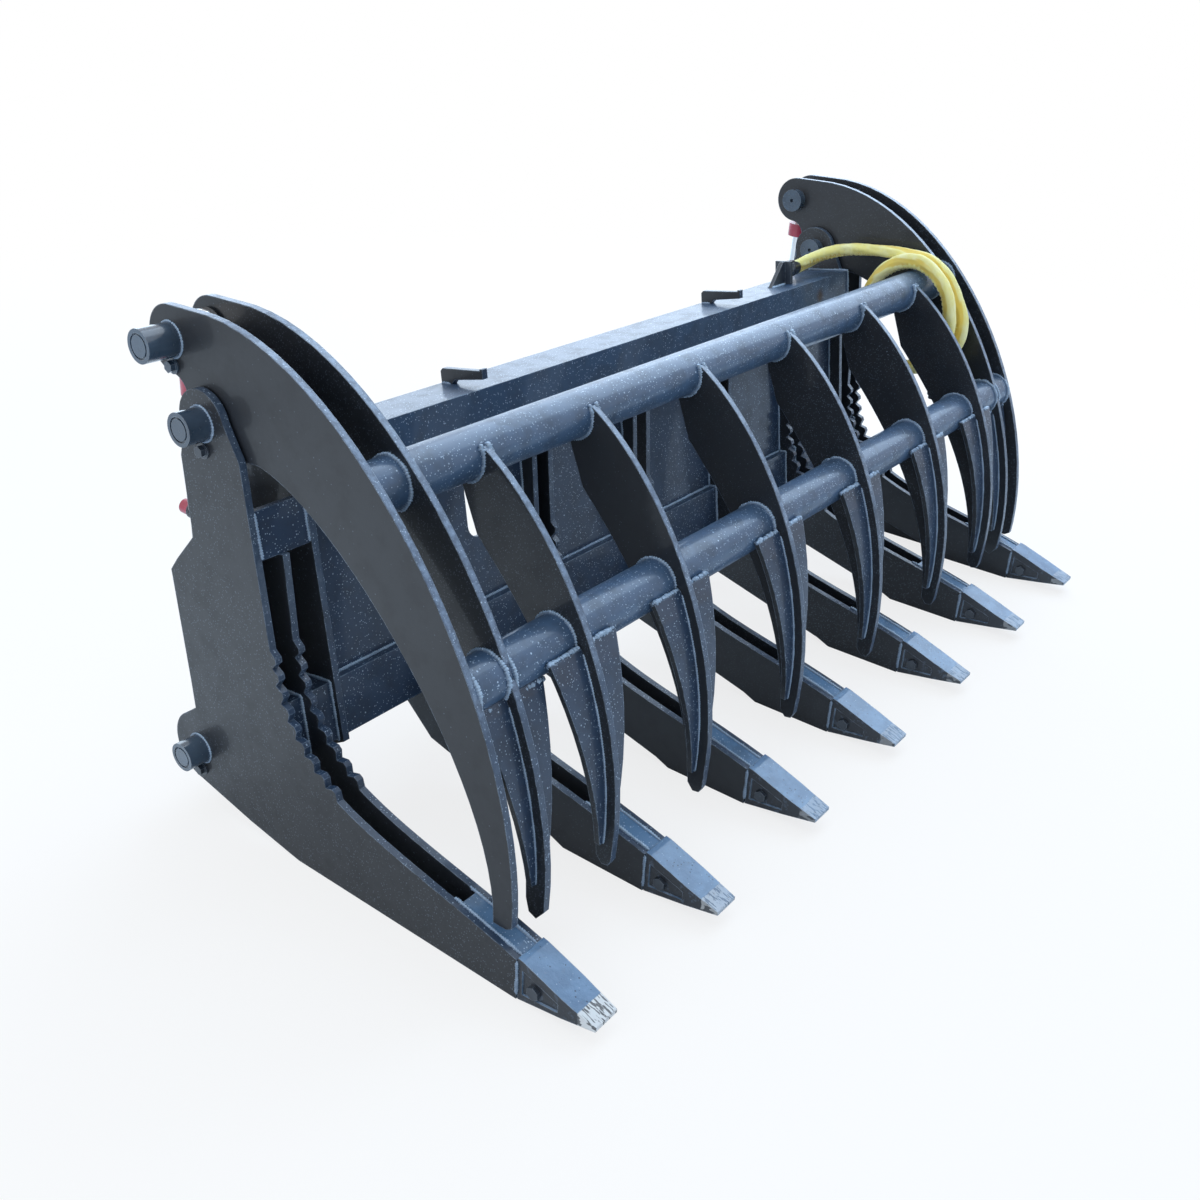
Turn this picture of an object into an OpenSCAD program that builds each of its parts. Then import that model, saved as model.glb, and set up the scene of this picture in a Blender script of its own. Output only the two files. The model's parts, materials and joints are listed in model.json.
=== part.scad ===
// Root rake grapple for a skid-steer loader: a rack of twin-plate tines on a back frame of two
// beams, and one full-width curved grapple that two hydraulic cylinders swing open.
// X runs along the width, the teeth point to -Y, and the tines lie flat on the ground at Z = 0.

/* [Rake] */
// Distance between the centres of two tines
tine_pitch = 304; // [280:1:330]
// Width of a tine over its two plates
tine_w = 56; // [50:1:64]
// Thickness of the rake's plates
plate_t = 12; // [9:1:14]
// Radius of the throat, at the roots of its serrations
throat_r = 235; // [220:1:250]
// Depth of the serrations in the throat
serration_d = 11; // [6:1:14]
// Number of serrations in a throat
serrations = 9; // [7:1:11]
// Length of a tooth cap
tooth_l = 136; // [125:1:150]
// Thickness of the side walls of a tooth cap
tooth_wall = 11; // [8:0.5:12]
// Diameter of the cross bolt of a tooth
tooth_bolt_d = 14; // [10:1:16]

/* [Back frame] */
// Depth and height of the top beam
top_beam_s = 100; // [85:1:110]
// Depth of the lower beam
lower_beam_d = 70; // [60:1:76]
// Height of the lower beam
lower_beam_h = 100; // [80:1:110]
// Wall of the beams
beam_wall = 8; // [5:0.5:12]
// Thickness of the back panels
panel_t = 8; // [5:0.5:12]
// Width of the slots in the back panels
slot_w = 50; // [30:1:70]
// Height of the slots in the back panels
slot_h = 142; // [100:1:180]
// Width of an attach plate
attach_w = 260; // [220:1:300]
// Distance from the middle of the rake to the middle of an attach plate
attach_x = 385; // [330:1:420]
// Width of the two hooks on the top beam
hook_w = 12; // [8:1:20]

/* [Pins] */
// Diameter of the pins
pin_d = 32; // [25:1:36]
// Radial clearance of a pin in a bore that turns on it
pin_clearance = 0.05; // [0.02:0.01:0.1]
// Outer diameter of the bosses and of the rings on the pin ends
boss_d = 50; // [46:1:56]
// Length of a boss outside the side plate
boss_l = 38; // [20:1:50]
// Length of a ring on the inner end of a pin
ring_l = 22; // [12:1:30]
// Radius of the lugs round the main pivots
pivot_lug_r = 50; // [44:1:56]
// Radius of the lugs round the cylinder base pins
base_lug_r = 64; // [54:1:72]

/* [Cylinders] */
// Outer diameter of a barrel
barrel_d = 60; // [52:1:62]
// Bore of a barrel
barrel_bore = 45; // [40:1:48]
// Diameter of a piston rod
rod_d = 32; // [22:1:34]
// Distance from the base pin to the top of the gland
gland_top = 448; // [420:1:470]
// Length of a gland
gland_l = 26; // [18:1:40]
// Outer diameter of a cylinder's eyes
eye_d = 68; // [62:1:76]
// Diameter of a stroke collar
collar_d = 56; // [44:1:60]
// Length of a stroke collar
collar_l = 30; // [15:1:45]

/* [Grapple] */
// Thickness of the arm plates
arm_t = 12; // [9:1:14]
// Clear width between the two plates of an arm
arm_gap = 59; // [56:1:66]
// Radius of the arm's tail round the rod pin
tail_r = 50; // [44:1:56]
// Outer diameter of the cross tubes
tube_d = 76; // [60:1:84]
// Wall of the cross tubes
tube_wall = 8; // [4:0.5:12]
// Thickness of the blades
blade_t = 12; // [8:1:14]
// Distance from the middle of the rake to the outermost blades
outer_blade_x = 705; // [690:1:712]
// Width over the two wings of a blade, at the lower tube
wing_w = 150; // [120:1:150]
// Width over the two wings of a blade, at its tip
wing_tip_w = 24; // [20:1:40]
// Thickness of the wings
wing_t = 10; // [6:1:14]

/* [Gaps] */
// Gap between the side plate and the arm's outer plate
side_gap = 3; // [2:0.5:5]
// Gap between the arm's inner plate and the lug plate
lug_gap = 4; // [2:0.5:6]
// Gap on each side of a cylinder eye
eye_gap = 4.5; // [2:0.5:6]
// Gap where a piece passes through a plate, or sits in a pocket
seat_gap = 0.2; // [0.1:0.05:0.4]
// Gap between two pieces that move past each other
run_gap = 0.3; // [0.2:0.05:0.5]

/* [Hidden] */
$fn = 48;

paint = "#1d2836";
steel = "#8f959c";
bolt_paint = "#39424f";
red = "#c0392b";
chrome = "#c9ced4";
sleeve = "#e0b020";
black = "#202022";

// Pivots, as distance behind the tooth tips and height above the ground
main_pivot = [740, 703];
rod_pivot = [812, 806];
base_pivot = [834, 112];
half_depth = (base_pivot[0] + base_lug_r) / 2;

// The back frame leans back from the tines
lean = 8;
lean_rise = 25;
back_y = 648;
tine_front_y = 563;
lug_front_y = 567;
lower_beam_z = 240;
top_beam_z = 626;
cross_plate_y = 571;
cross_plate_z = 575;
cross_plate_h = 75;
panel_y = 596;
slot_z = 458;
lug_top_z = top_beam_z + top_beam_s - 2;
hook_xs = [-450, 350];

// Places along the width, for the right-hand end
tine_count = 7;
half_w = tine_pitch * (tine_count - 1) / 2 + tine_w / 2;
side_x = half_w - plate_t;
inner_tine_x = half_w - tine_w;
arm_outer_x = side_x - side_gap - arm_t;
arm_inner_x = arm_outer_x - arm_gap - arm_t;
lug_x = arm_inner_x - lug_gap - plate_t;
cylinder_x = arm_outer_x - arm_gap / 2;
eye_w = arm_gap - 2 * eye_gap;
boss_end_x = half_w + boss_l;

// Tine outline
joint_gap = 2;
joint_u = tooth_l + joint_gap;
tine_nose_h = 72;
tooth_step = 5;
throat_v = 376;
throat_span = 64;
throat_c = [on_lean_u(tine_front_y, throat_v) + serration_d - throat_r, throat_v];
throat_end = polar(throat_c, throat_r, -throat_span);
block_end_u = 270;
nose_tip_u = 70;
nose_tip_v = [24, 44];
nose_side_gap = 0.3;
tooth_bolt_at = [107, 30];

// Grapple outlines
upper_tube_at = [450, 672];
lower_tube_at = [272, 440];
arm_front = [[757, 857], [450, 875], [160, 470], [160, 130]];
arm_rear = [[640, 662], [480, 640], [190, 330], [196, 97]];
arm_foot_v = 67;
notch_r = 30;
blade_front = [[415, 694], [290, 620], [130, 400], [148, 125]];
blade_rear = [[425, 556], [320, 450], [192, 300], [178, 98]];
blade_foot_v = 85;
wing_top_v = 440;
wing_foot_v = 112;
wing_set_back = 18;

// Cylinder, measured from the base pin along the line to the rod pin
cylinder_line = rod_pivot - base_pivot;
cylinder_l = norm(cylinder_line);
cylinder_tilt = atan2(-cylinder_line[0], cylinder_line[1]);
piston_l = 32;
top_port = 403;
base_port = 78;
port_d = 28;
port_l = 14;
plug_d = 24;
plug_l = 20;
collar_end = cylinder_l - 60;

// Hose: two lines in one sleeve, from the bulkhead over the beam and round the upper tube
hose_d = 30;
hose_sides = 10;
hose_gland_at = [600.6, 756];
hose_gland_l = 20;
bulkhead_w = 28;
bulkhead_ramp = 40;
bulkhead_reach = 21;
run_route = [[640, 251, 690], [650, 251, 690], [660, 251, 690]];
loop_route = [
    [660, 251, 690], [680, 251, 690], [727, 242, 700], [765, 216, 716], [791, 177, 726],
    [800, 131, 731], [800, 80, 735], [800, 30, 736], [800, -16, 730], [800, -58, 704],
    [800, -92, 662], [798, -118, 606], [796, -108, 546], [793, -64, 502], [789, -4, 486],
    [785, 56, 502], [781, 100, 546], [777, 116, 606], [773, 100, 666], [769, 56, 714],
    [765, -2, 732], [762, -50, 714], [760, -88, 672], [760, -104, 615], [760, -106, 560], [760, -106, 505]
];
coupler_d = 24;
coupler_l = 52;

function polar(c, r, a) = c + r * [cos(a), sin(a)];

function bezier(p, t) =
    pow(1 - t, 3) * p[0] + 3 * pow(1 - t, 2) * t * p[1] + 3 * (1 - t) * t * t * p[2] + t * t * t * p[3];

function curve(p, steps) = [for (i = [0:steps]) bezier(p, i / steps)];

function reversed(list) = [for (i = [len(list) - 1:-1:0]) list[i]];

// A point of the leaning back frame, as distance behind the tooth tips and height
function on_lean(y, z) = [
    y * cos(lean) + z * sin(lean),
    -y * sin(lean) + z * cos(lean) + lean_rise
];

// Where the leaning plane at y stands at height v
function on_lean_u(y, v) = y * cos(lean) + tan(lean) * (v - lean_rise + y * sin(lean));

function lean_box(y0, y1, z0, z1) = [on_lean(y0, z0), on_lean(y1, z0), on_lean(y1, z1), on_lean(y0, z1)];

// Parameter at which a curve that runs downwards passes height v, by halving
function crossing(p, v, low = 0, high = 1, left = 16) =
    left == 0 ? (low + high) / 2
    : bezier(p, (low + high) / 2)[1] > v ? crossing(p, v, (low + high) / 2, high, left - 1)
    : crossing(p, v, low, (low + high) / 2, left - 1);

function part_of(p, t0, t1, steps) = [for (i = [0:steps]) bezier(p, t0 + (t1 - t0) * i / steps)];

// Draws an outline upright, as a plate from x to x + t
module plate(x, t) {
    translate([x, -half_depth, 0])
        rotate([90, 0, 90])
            linear_extrude(t)
                children();
}

// Places pieces of the leaning back frame
module leaning() {
    translate([0, -half_depth, lean_rise])
        rotate([-lean, 0, 0])
            children();
}

// Draws the right-hand piece, or its mirror image on the left
module on_side(side) {
    if (side > 0)
        children();
    else
        mirror([1, 0, 0])
            children();
}

// A bar along X from x0 to x1, through the point at
module bar(at, x0, x1, d) {
    translate([x0, at[0] - half_depth, at[1]])
        rotate([0, 90, 0])
            cylinder(h = x1 - x0, d = d);
}

module disc_at(at, r) {
    translate(at)
        circle(r);
}

// The serrated throat, from its upper end to its lower end
function throat_points() = let (step = throat_span / serrations) concat(
    [for (i = [0:serrations - 1]) each [
        polar(throat_c, throat_r, -i * step),
        polar(throat_c, throat_r - serration_d, -(i + 0.35) * step),
        polar(throat_c, throat_r - serration_d, -(i + 0.65) * step)
    ]],
    [throat_end]
);

function tine_top_curve() =
    curve([throat_end, throat_end + [-98, -43], [280, 112], [joint_u, tine_nose_h]], 14);

module lower_beam_window() {
    polygon(lean_box(
        back_y - lower_beam_d - seat_gap, back_y + seat_gap,
        lower_beam_z - seat_gap, lower_beam_z + lower_beam_h + seat_gap
    ));
}

module tine_outline(top_z) {
    difference() {
        polygon(concat(
            [on_lean(tine_front_y, top_z)],
            throat_points(),
            tine_top_curve(),
            [[joint_u, 0], [300, 0], [328, 12], [601, 84], on_lean(back_y, 218), on_lean(back_y, top_z)]
        ));
        lower_beam_window();
    }
}

module tine(i) {
    centre = (i - (tine_count + 1) / 2) * tine_pitch;
    color(paint)
        for (x = [centre - tine_w / 2, centre + tine_w / 2 - plate_t])
            plate(x, plate_t)
                tine_outline(top_beam_z);
}

module inner_tine_plate(side) {
    color(paint)
        on_side(side)
            plate(inner_tine_x, plate_t)
                tine_outline(cross_plate_z);
}

// The rear edges and the lugs are the same on side plates and lug plates
rear_edge = [
    base_pivot + [base_lug_r, 0], polar(base_pivot, base_lug_r, 60), [836, 190], [839, 236], [857, 436],
    [838, 460], [790, 512], [797, 641], polar(main_pivot, pivot_lug_r, -25), main_pivot,
    polar(main_pivot, pivot_lug_r, 135)
];

module fork_outline(front_and_foot) {
    difference() {
        union() {
            polygon(concat(rear_edge, front_and_foot));
            disc_at(main_pivot, pivot_lug_r);
            disc_at(base_pivot, base_lug_r);
        }
        disc_at(main_pivot, pin_d / 2 + pin_clearance);
        disc_at(base_pivot, pin_d / 2 + pin_clearance);
    }
}

module side_plate(side) {
    color(paint)
        on_side(side)
            plate(side_x, plate_t)
                fork_outline(concat(
                    [on_lean(lug_front_y, lug_top_z)],
                    throat_points(),
                    tine_top_curve(),
                    [[joint_u, 0], [600, 0], [716, 20], polar(base_pivot, base_lug_r, -70)]
                ));
}

module lug_plate(side) {
    color(paint)
        on_side(side)
            plate(lug_x, plate_t)
                difference() {
                    fork_outline([
                        on_lean(lug_front_y, lug_top_z), on_lean(lug_front_y, lower_beam_z - 4),
                        polar(base_pivot, base_lug_r, -120)
                    ]);
                    lower_beam_window();
                }
}

// Block welded between the plates of a tine, with a tapered nose that carries the tooth cap
module tine_nose(centre) {
    block_w = tine_w - 2 * plate_t;
    difference() {
        plate(centre - block_w / 2, block_w)
            polygon(concat(
                [for (p = tine_top_curve()) if (p[0] < block_end_u) p],
                [
                    [joint_u, tine_nose_h - 8], [nose_tip_u, nose_tip_v[1]], [nose_tip_u, nose_tip_v[0]],
                    [joint_u, 8], [block_end_u, 8]
                ]
            ));
        bar(tooth_bolt_at, centre - tine_w, centre + tine_w, tooth_bolt_d + 2 * seat_gap);
    }
}

module tine_noses() {
    color(paint)
        for (i = [1:tine_count])
            tine_nose((i - (tine_count + 1) / 2) * tine_pitch);
}

// Cast cap with a chisel edge, hollow over the nose, with a shallow pocket round the bolt
module tooth(i) {
    centre = (i - (tine_count + 1) / 2) * tine_pitch;
    nose_w = tine_w - 2 * plate_t + 2 * nose_side_gap;
    root_w = min(tine_w - 1, nose_w + 2 * tooth_wall);
    edge_w = root_w - 6;
    color(paint)
        difference() {
            intersection() {
                plate(centre - root_w / 2, root_w)
                    polygon([
                        [0, 25], [0, 31], [36, 43], [126, 75], [tooth_l, tine_nose_h + tooth_step],
                        [tooth_l, 1], [97, 8]
                    ]);
                translate([centre, -half_depth, -1])
                    linear_extrude(tine_nose_h + tooth_step + 2)
                        polygon([
                            [-edge_w / 2, 0], [edge_w / 2, 0], [root_w / 2, 60], [root_w / 2, tooth_l],
                            [-root_w / 2, tooth_l], [-root_w / 2, 60]
                        ]);
            }
            plate(centre - nose_w / 2, nose_w)
                polygon([
                    [joint_u + 1, tine_nose_h - 7.6], [nose_tip_u - 1, nose_tip_v[1] + 0.8],
                    [nose_tip_u - 1, nose_tip_v[0] - 0.8], [joint_u + 1, 7.2]
                ]);
            for (x = [-root_w / 2 - 1, root_w / 2 - 2.5])
                plate(centre + x, 3.5)
                    polygon([[tooth_l - 8, 58], [64, 37], [64, 22], [tooth_l - 8, 14]]);
            bar(tooth_bolt_at, centre - tine_w, centre + tine_w, tooth_bolt_d + 2 * seat_gap);
        }
}

module tooth_bolts() {
    root_w = min(tine_w - 1, tine_w - 2 * plate_t + 2 * nose_side_gap + 2 * tooth_wall);
    seat = root_w / 2 - 2.5;
    color(bolt_paint)
        for (i = [1:tine_count]) {
            centre = (i - (tine_count + 1) / 2) * tine_pitch;
            bar(tooth_bolt_at, centre - seat - 6, centre + seat + 6, tooth_bolt_d);
            for (x = [centre - seat - 6, centre + seat])
                translate([x, tooth_bolt_at[0] - half_depth, tooth_bolt_at[1]])
                    rotate([0, 90, 0])
                        cylinder(h = 6, d = tooth_bolt_d * 1.6, $fn = 6);
        }
}

// Square tube along X with its rear bottom edge at [y, z] of the leaning frame
module beam(half_l, y, z, depth, height) {
    leaning()
        difference() {
            translate([-half_l, y - depth, z])
                cube([2 * half_l, depth, height]);
            translate([-half_l - 1, y - depth + beam_wall, z + beam_wall])
                cube([2 * half_l + 2, depth - 2 * beam_wall, height - 2 * beam_wall]);
        }
}

module top_beam() {
    color(paint)
        beam(lug_x, back_y, top_beam_z, top_beam_s, top_beam_s);
}

module lower_beam() {
    color(paint)
        beam(side_x, back_y, lower_beam_z, lower_beam_d, lower_beam_h);
}

module slotted_panel(x0, x1, slotted) {
    z0 = lower_beam_z + lower_beam_h;
    leaning()
        difference() {
            translate([x0, panel_y, z0])
                cube([x1 - x0, panel_t, top_beam_z - z0]);
            if (slotted)
                translate([(x0 + x1) / 2, panel_y - 1, 0])
                    rotate([-90, 0, 0])
                        linear_extrude(panel_t + 2) {
                            translate([-slot_w / 2, -slot_z - slot_h])
                                square([slot_w, slot_h - slot_w / 2]);
                            translate([0, -slot_z - slot_w / 2])
                                circle(d = slot_w);
                        }
        }
}

module back_panels() {
    color(paint)
        for (side = [-1, 1])
            on_side(side) {
                for (k = [0, 1])
                    slotted_panel(k * tine_pitch + tine_w / 2, (k + 1) * tine_pitch - tine_w / 2, true);
                slotted_panel(2 * tine_pitch + tine_w / 2, lug_x, false);
            }
}

module cross_plates() {
    color(paint)
        for (side = [-1, 1])
            on_side(side)
                leaning()
                    translate([lug_x + plate_t, cross_plate_y, cross_plate_z])
                        cube([side_x - lug_x - plate_t, plate_t, cross_plate_h]);
}

// Plate with a lip on top and a ledge with a wedge slot at its foot, for a loader's quick hitch
module attach_plate(side) {
    foot_z = lower_beam_z - 5;
    top_z = top_beam_z + top_beam_s - 46;
    color(paint)
        on_side(side)
            leaning() {
                translate([attach_x - attach_w / 2, back_y, foot_z])
                    cube([attach_w, plate_t, top_z - foot_z]);
                translate([attach_x - attach_w / 2, back_y, top_z])
                    rotate([90, 0, 90])
                        linear_extrude(attach_w)
                            polygon([[0, 0], [0, 20], [plate_t, 22], [46, 8], [40, 0], [plate_t, 0]]);
                difference() {
                    translate([attach_x - attach_w / 2, back_y + plate_t, foot_z])
                        cube([attach_w, 62, plate_t]);
                    translate([attach_x - 30, back_y + plate_t + 22, foot_z - 1])
                        cube([60, 24, plate_t + 2]);
                }
            }
}

// Flat hooks that stand on the rear edge of the top beam and reach forward over it
module top_hooks() {
    color(paint)
        leaning()
            for (x = hook_xs)
                translate([x - hook_w / 2, back_y, top_beam_z + top_beam_s])
                    rotate([90, 0, 90])
                        linear_extrude(hook_w)
                            polygon([
                                [-2, 0], [-2, 21], [-7, 26], [-93, 28], [-93, 31], [-99, 31],
                                [-99, 14], [-34, 8], [-26, 0]
                            ]);
}

// Pin through a fork, with a boss and a centred hole outside and a ring on its inner end
module fork_pin(at, side) {
    color(steel)
        on_side(side)
            difference() {
                union() {
                    bar(at, lug_x - ring_l, boss_end_x, pin_d);
                    bar(at, half_w, boss_end_x, boss_d);
                    bar(at, lug_x - ring_l, lug_x, boss_d);
                }
                difference() {
                    bar(at, boss_end_x - 3, boss_end_x + 1, pin_d + 6);
                    bar(at, boss_end_x - 4, boss_end_x + 2, pin_d);
                }
                bar(at, lug_x - ring_l - 1, lug_x - ring_l + 9, 9);
            }
}

module spacer(at, x0, x1) {
    difference() {
        bar(at, x0, x1, boss_d);
        bar(at, x0 - 1, x1 + 1, pin_d + 2 * seat_gap);
    }
}

module base_spacers() {
    color(steel)
        for (side = [-1, 1])
            on_side(side) {
                spacer(base_pivot, lug_x + plate_t, cylinder_x - eye_w / 2 - run_gap);
                spacer(base_pivot, cylinder_x + eye_w / 2 + run_gap, side_x);
            }
}

// Hex bolt on a washer, with its seat at x
module keeper_bolt(at, x) {
    bar(at, x, x + 3, 24);
    translate([x + 3, at[0] - half_depth, at[1]])
        rotate([0, 90, 0])
            cylinder(h = 8, d = 18, $fn = 6);
}

module keeper_bolts() {
    color(bolt_paint)
        for (side = [-1, 1])
            on_side(side)
                for (at = [main_pivot, base_pivot])
                    keeper_bolt(at - [0, boss_d / 2 + 15], half_w);
}

// Sloped block on the top beam, with the gland that the sleeve leaves along +X
module hose_bulkhead() {
    foot_z = top_beam_z + top_beam_s;
    block_end = run_route[0][0] - hose_gland_l + 2;
    block_h = hose_gland_at[1] + bulkhead_reach - foot_z;
    color(bolt_paint)
        leaning() {
            translate([block_end, hose_gland_at[0] + bulkhead_reach, foot_z])
                rotate([90, 0, 0])
                    linear_extrude(2 * bulkhead_reach)
                        polygon([
                            [-bulkhead_w - bulkhead_ramp, 0], [0, 0],
                            [0, block_h], [-bulkhead_w, block_h]
                        ]);
            translate([run_route[0][0] - hose_gland_l, hose_gland_at[0], hose_gland_at[1]])
                rotate([0, 90, 0])
                    cylinder(h = hose_gland_l, d = hose_d + 6);
        }
}

// Centre of the round notch that touches the discs round the main pivot and the rod pin
function notch_centre(r) = let (
    between = rod_pivot - main_pivot,
    d = norm(between),
    ra = pivot_lug_r + r,
    rb = tail_r + r,
    along = (d * d + ra * ra - rb * rb) / (2 * d),
    off = sqrt(ra * ra - along * along)
) main_pivot + along / d * between + off / d * [between[1], -between[0]];

module arm_outline(foot) {
    difference() {
        union() {
            polygon(concat(
                curve(arm_front, 28),
                foot,
                reversed(curve(arm_rear, 24)),
                [
                    polar(main_pivot, pivot_lug_r, -110), main_pivot, rod_pivot, polar(rod_pivot, tail_r, 92)
                ]
            ));
            difference() {
                polygon([main_pivot, notch_centre(notch_r), rod_pivot]);
                disc_at(notch_centre(notch_r), notch_r);
            }
            disc_at(main_pivot, pivot_lug_r);
            disc_at(rod_pivot, tail_r);
        }
        disc_at(main_pivot, pin_d / 2 + pin_clearance);
        disc_at(rod_pivot, pin_d / 2 + seat_gap);
    }
}

module arm_outer(side) {
    color(paint)
        on_side(side)
            plate(arm_outer_x, arm_t)
                arm_outline([[161, 104], [172, 97]]);
}

// The inner plate carries the hub that turns on the main pivot pin
module arm_inner(side) {
    color(paint)
        on_side(side) {
            plate(arm_inner_x, arm_t)
                difference() {
                    arm_outline([[162, 85], [176, arm_foot_v], [190, arm_foot_v + 6]]);
                    disc_at(upper_tube_at, tube_d / 2 + seat_gap);
                    disc_at(lower_tube_at, tube_d / 2 + seat_gap);
                }
            difference() {
                bar(main_pivot, arm_inner_x + arm_t, arm_outer_x, boss_d + 8);
                bar(main_pivot, arm_inner_x, arm_outer_x + arm_t, pin_d + 2 * pin_clearance);
            }
        }
}

module cross_tube(at) {
    color(paint)
        difference() {
            bar(at, -arm_outer_x, arm_outer_x, tube_d);
            bar(at, -arm_outer_x - 1, arm_outer_x + 1, tube_d - 2 * tube_wall);
        }
}

blade_xs = [-outer_blade_x, -1.5 * tine_pitch, -0.5 * tine_pitch,
    0.5 * tine_pitch, 1.5 * tine_pitch, outer_blade_x];

module blade(i) {
    color(paint)
        plate(blade_xs[i - 1] - blade_t / 2, blade_t)
            difference() {
                polygon(concat(
                    curve(blade_front, 24),
                    [[150, blade_foot_v + 12], [155, blade_foot_v + 2], [167, blade_foot_v]],
                    reversed(curve(blade_rear, 20)),
                    [[457, 634], upper_tube_at]
                ));
                disc_at(upper_tube_at, tube_d / 2 + seat_gap);
                disc_at(lower_tube_at, tube_d / 2 + seat_gap);
            }
}

// Curved band that follows the front edge of a blade, set back behind it
module wing_band(front) {
    t0 = crossing(front, wing_top_v);
    t1 = crossing(front, wing_foot_v);
    near = part_of(front, t0, t1, 8);
    polygon(concat(
        [for (p = near) p + [wing_set_back, 0]],
        [for (p = reversed(near)) p + [wing_set_back + wing_t, 0]]
    ));
}

// Two wings on a plate that is t thick: they narrow from the lower tube to the tip
module wings(centre, t, front, outer_reach) {
    difference() {
        intersection() {
            plate(centre - wing_w / 2, wing_w)
                wing_band(front);
            translate([centre, half_depth, 0])
                rotate([90, 0, 0])
                    linear_extrude(2 * half_depth)
                        polygon([
                            [-wing_w / 2, wing_top_v], [outer_reach, wing_top_v],
                            [wing_tip_w / 2, wing_foot_v], [-wing_tip_w / 2, wing_foot_v]
                        ]);
        }
        plate(centre - t / 2, t)
            square([half_depth * 2, wing_top_v + 1]);
        bar(lower_tube_at, centre - wing_w, centre + wing_w, tube_d + 2 * seat_gap);
    }
}

module wing_plates() {
    color(paint) {
        for (x = blade_xs)
            wings(x, blade_t, blade_front, wing_w / 2);
        for (side = [-1, 1])
            on_side(side)
                wings(arm_inner_x + arm_t / 2, arm_t, arm_front, min(wing_w / 2, arm_gap + arm_t / 2));
    }
}

// The pin's outer and inner ends, in the arm's two plates; the rod's eye carries its middle
module rod_pin(side) {
    color(steel)
        on_side(side) {
            difference() {
                union() {
                    bar(rod_pivot, arm_outer_x, boss_end_x, pin_d);
                    bar(rod_pivot, arm_outer_x + arm_t, boss_end_x, boss_d);
                }
                difference() {
                    bar(rod_pivot, boss_end_x - 3, boss_end_x + 1, pin_d + 6);
                    bar(rod_pivot, boss_end_x - 4, boss_end_x + 2, pin_d);
                }
            }
            difference() {
                union() {
                    bar(rod_pivot, arm_inner_x - ring_l, arm_inner_x + arm_t, pin_d);
                    bar(rod_pivot, arm_inner_x - ring_l, arm_inner_x, boss_d);
                }
                bar(rod_pivot, arm_inner_x - ring_l - 1, arm_inner_x - ring_l + 9, 9);
            }
            keeper_bolt(rod_pivot - [0, boss_d / 2 + 13], arm_outer_x + arm_t);
        }
}

// Places a cylinder's piece, drawn along +Z from the base pin
module along_cylinder(side) {
    on_side(side)
        translate([cylinder_x, base_pivot[0] - half_depth, base_pivot[1]])
            rotate([cylinder_tilt, 0, 0])
                children();
}

module eye(z) {
    translate([-eye_w / 2, 0, z])
        rotate([0, 90, 0])
            cylinder(h = eye_w, d = eye_d);
}

module port(z, from, to, d) {
    translate([0, from, z])
        rotate([-90, 0, 0])
            cylinder(h = to - from, d = d);
}

// Barrel with its base eye, two ports and the gland
module cylinder_barrel(side) {
    barrel_foot = boss_d / 2 + 3;
    gland_foot = gland_top - gland_l;
    color(paint)
        along_cylinder(side) {
            difference() {
                union() {
                    translate([0, 0, barrel_foot])
                        cylinder(h = gland_foot - barrel_foot, d = barrel_d);
                    eye(0);
                    for (z = [base_port, top_port])
                        port(z, 0, barrel_d / 2 + port_l, port_d);
                }
                translate([0, 0, eye_d / 2 + 4])
                    cylinder(h = gland_top, d = barrel_bore);
                translate([-eye_w, 0, 0])
                    rotate([0, 90, 0])
                        cylinder(h = 2 * eye_w, d = pin_d + 2 * pin_clearance);
            }
            difference() {
                translate([0, 0, gland_foot])
                    cylinder(h = gland_l, d = barrel_d + 5);
                translate([0, 0, gland_foot - 1])
                    cylinder(h = gland_l + 2, d = rod_d + 2 * pin_clearance);
                for (a = [0:60:300])
                    rotate([0, 0, a])
                        translate([barrel_d / 2 + 1, -3, gland_top - 9])
                            cube([6, 6, 10]);
            }
        }
}

module port_plugs(side) {
    seat = barrel_d / 2 + port_l;
    color(red)
        along_cylinder(side)
            for (z = [base_port, top_port])
                port(z, seat, seat + plug_l, plug_d);
}

// Rod with its piston, its eye and the middle length of the rod pin
module piston_rod(side) {
    piston_z = gland_top - gland_l - piston_l - 1;
    color(chrome)
        along_cylinder(side) {
            translate([0, 0, piston_z])
                cylinder(h = cylinder_l - eye_d / 4 - piston_z, d = rod_d);
            translate([0, 0, piston_z])
                cylinder(h = piston_l, d = barrel_bore - 2 * pin_clearance);
            eye(cylinder_l);
            translate([-arm_gap / 2 + run_gap, 0, cylinder_l])
                rotate([0, 90, 0])
                    cylinder(h = arm_gap - 2 * run_gap, d = pin_d);
        }
}

module stroke_collar(side) {
    color(red)
        along_cylinder(side)
            difference() {
                translate([0, 0, collar_end - collar_l])
                    cylinder(h = collar_l, d = collar_d);
                translate([0, 0, collar_end - collar_l - 1])
                    cylinder(h = collar_l + 2, d = rod_d + 2 * seat_gap);
            }
}

// Direction of a route at its point i
function heading(route, i) = let (
    step = route[min(i + 1, len(route) - 1)] - route[max(i - 1, 0)]
) step / norm(step);

// Direction across the route, carried from each point to the next without twist
function across_at(route, i) = let (
    along = heading(route, i),
    before = i == 0 ? cross(along, [0, 1, 0]) : across_at(route, i - 1),
    flat = before - (before * along) * along
) flat / norm(flat);

function ring_at(route, i) = let (
    across = across_at(route, i),
    third = cross(heading(route, i), across)
) [for (k = [0:hose_sides - 1])
    route[i] + hose_d / 2 * (cos(360 * k / hose_sides) * across + sin(360 * k / hose_sides) * third)];

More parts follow.
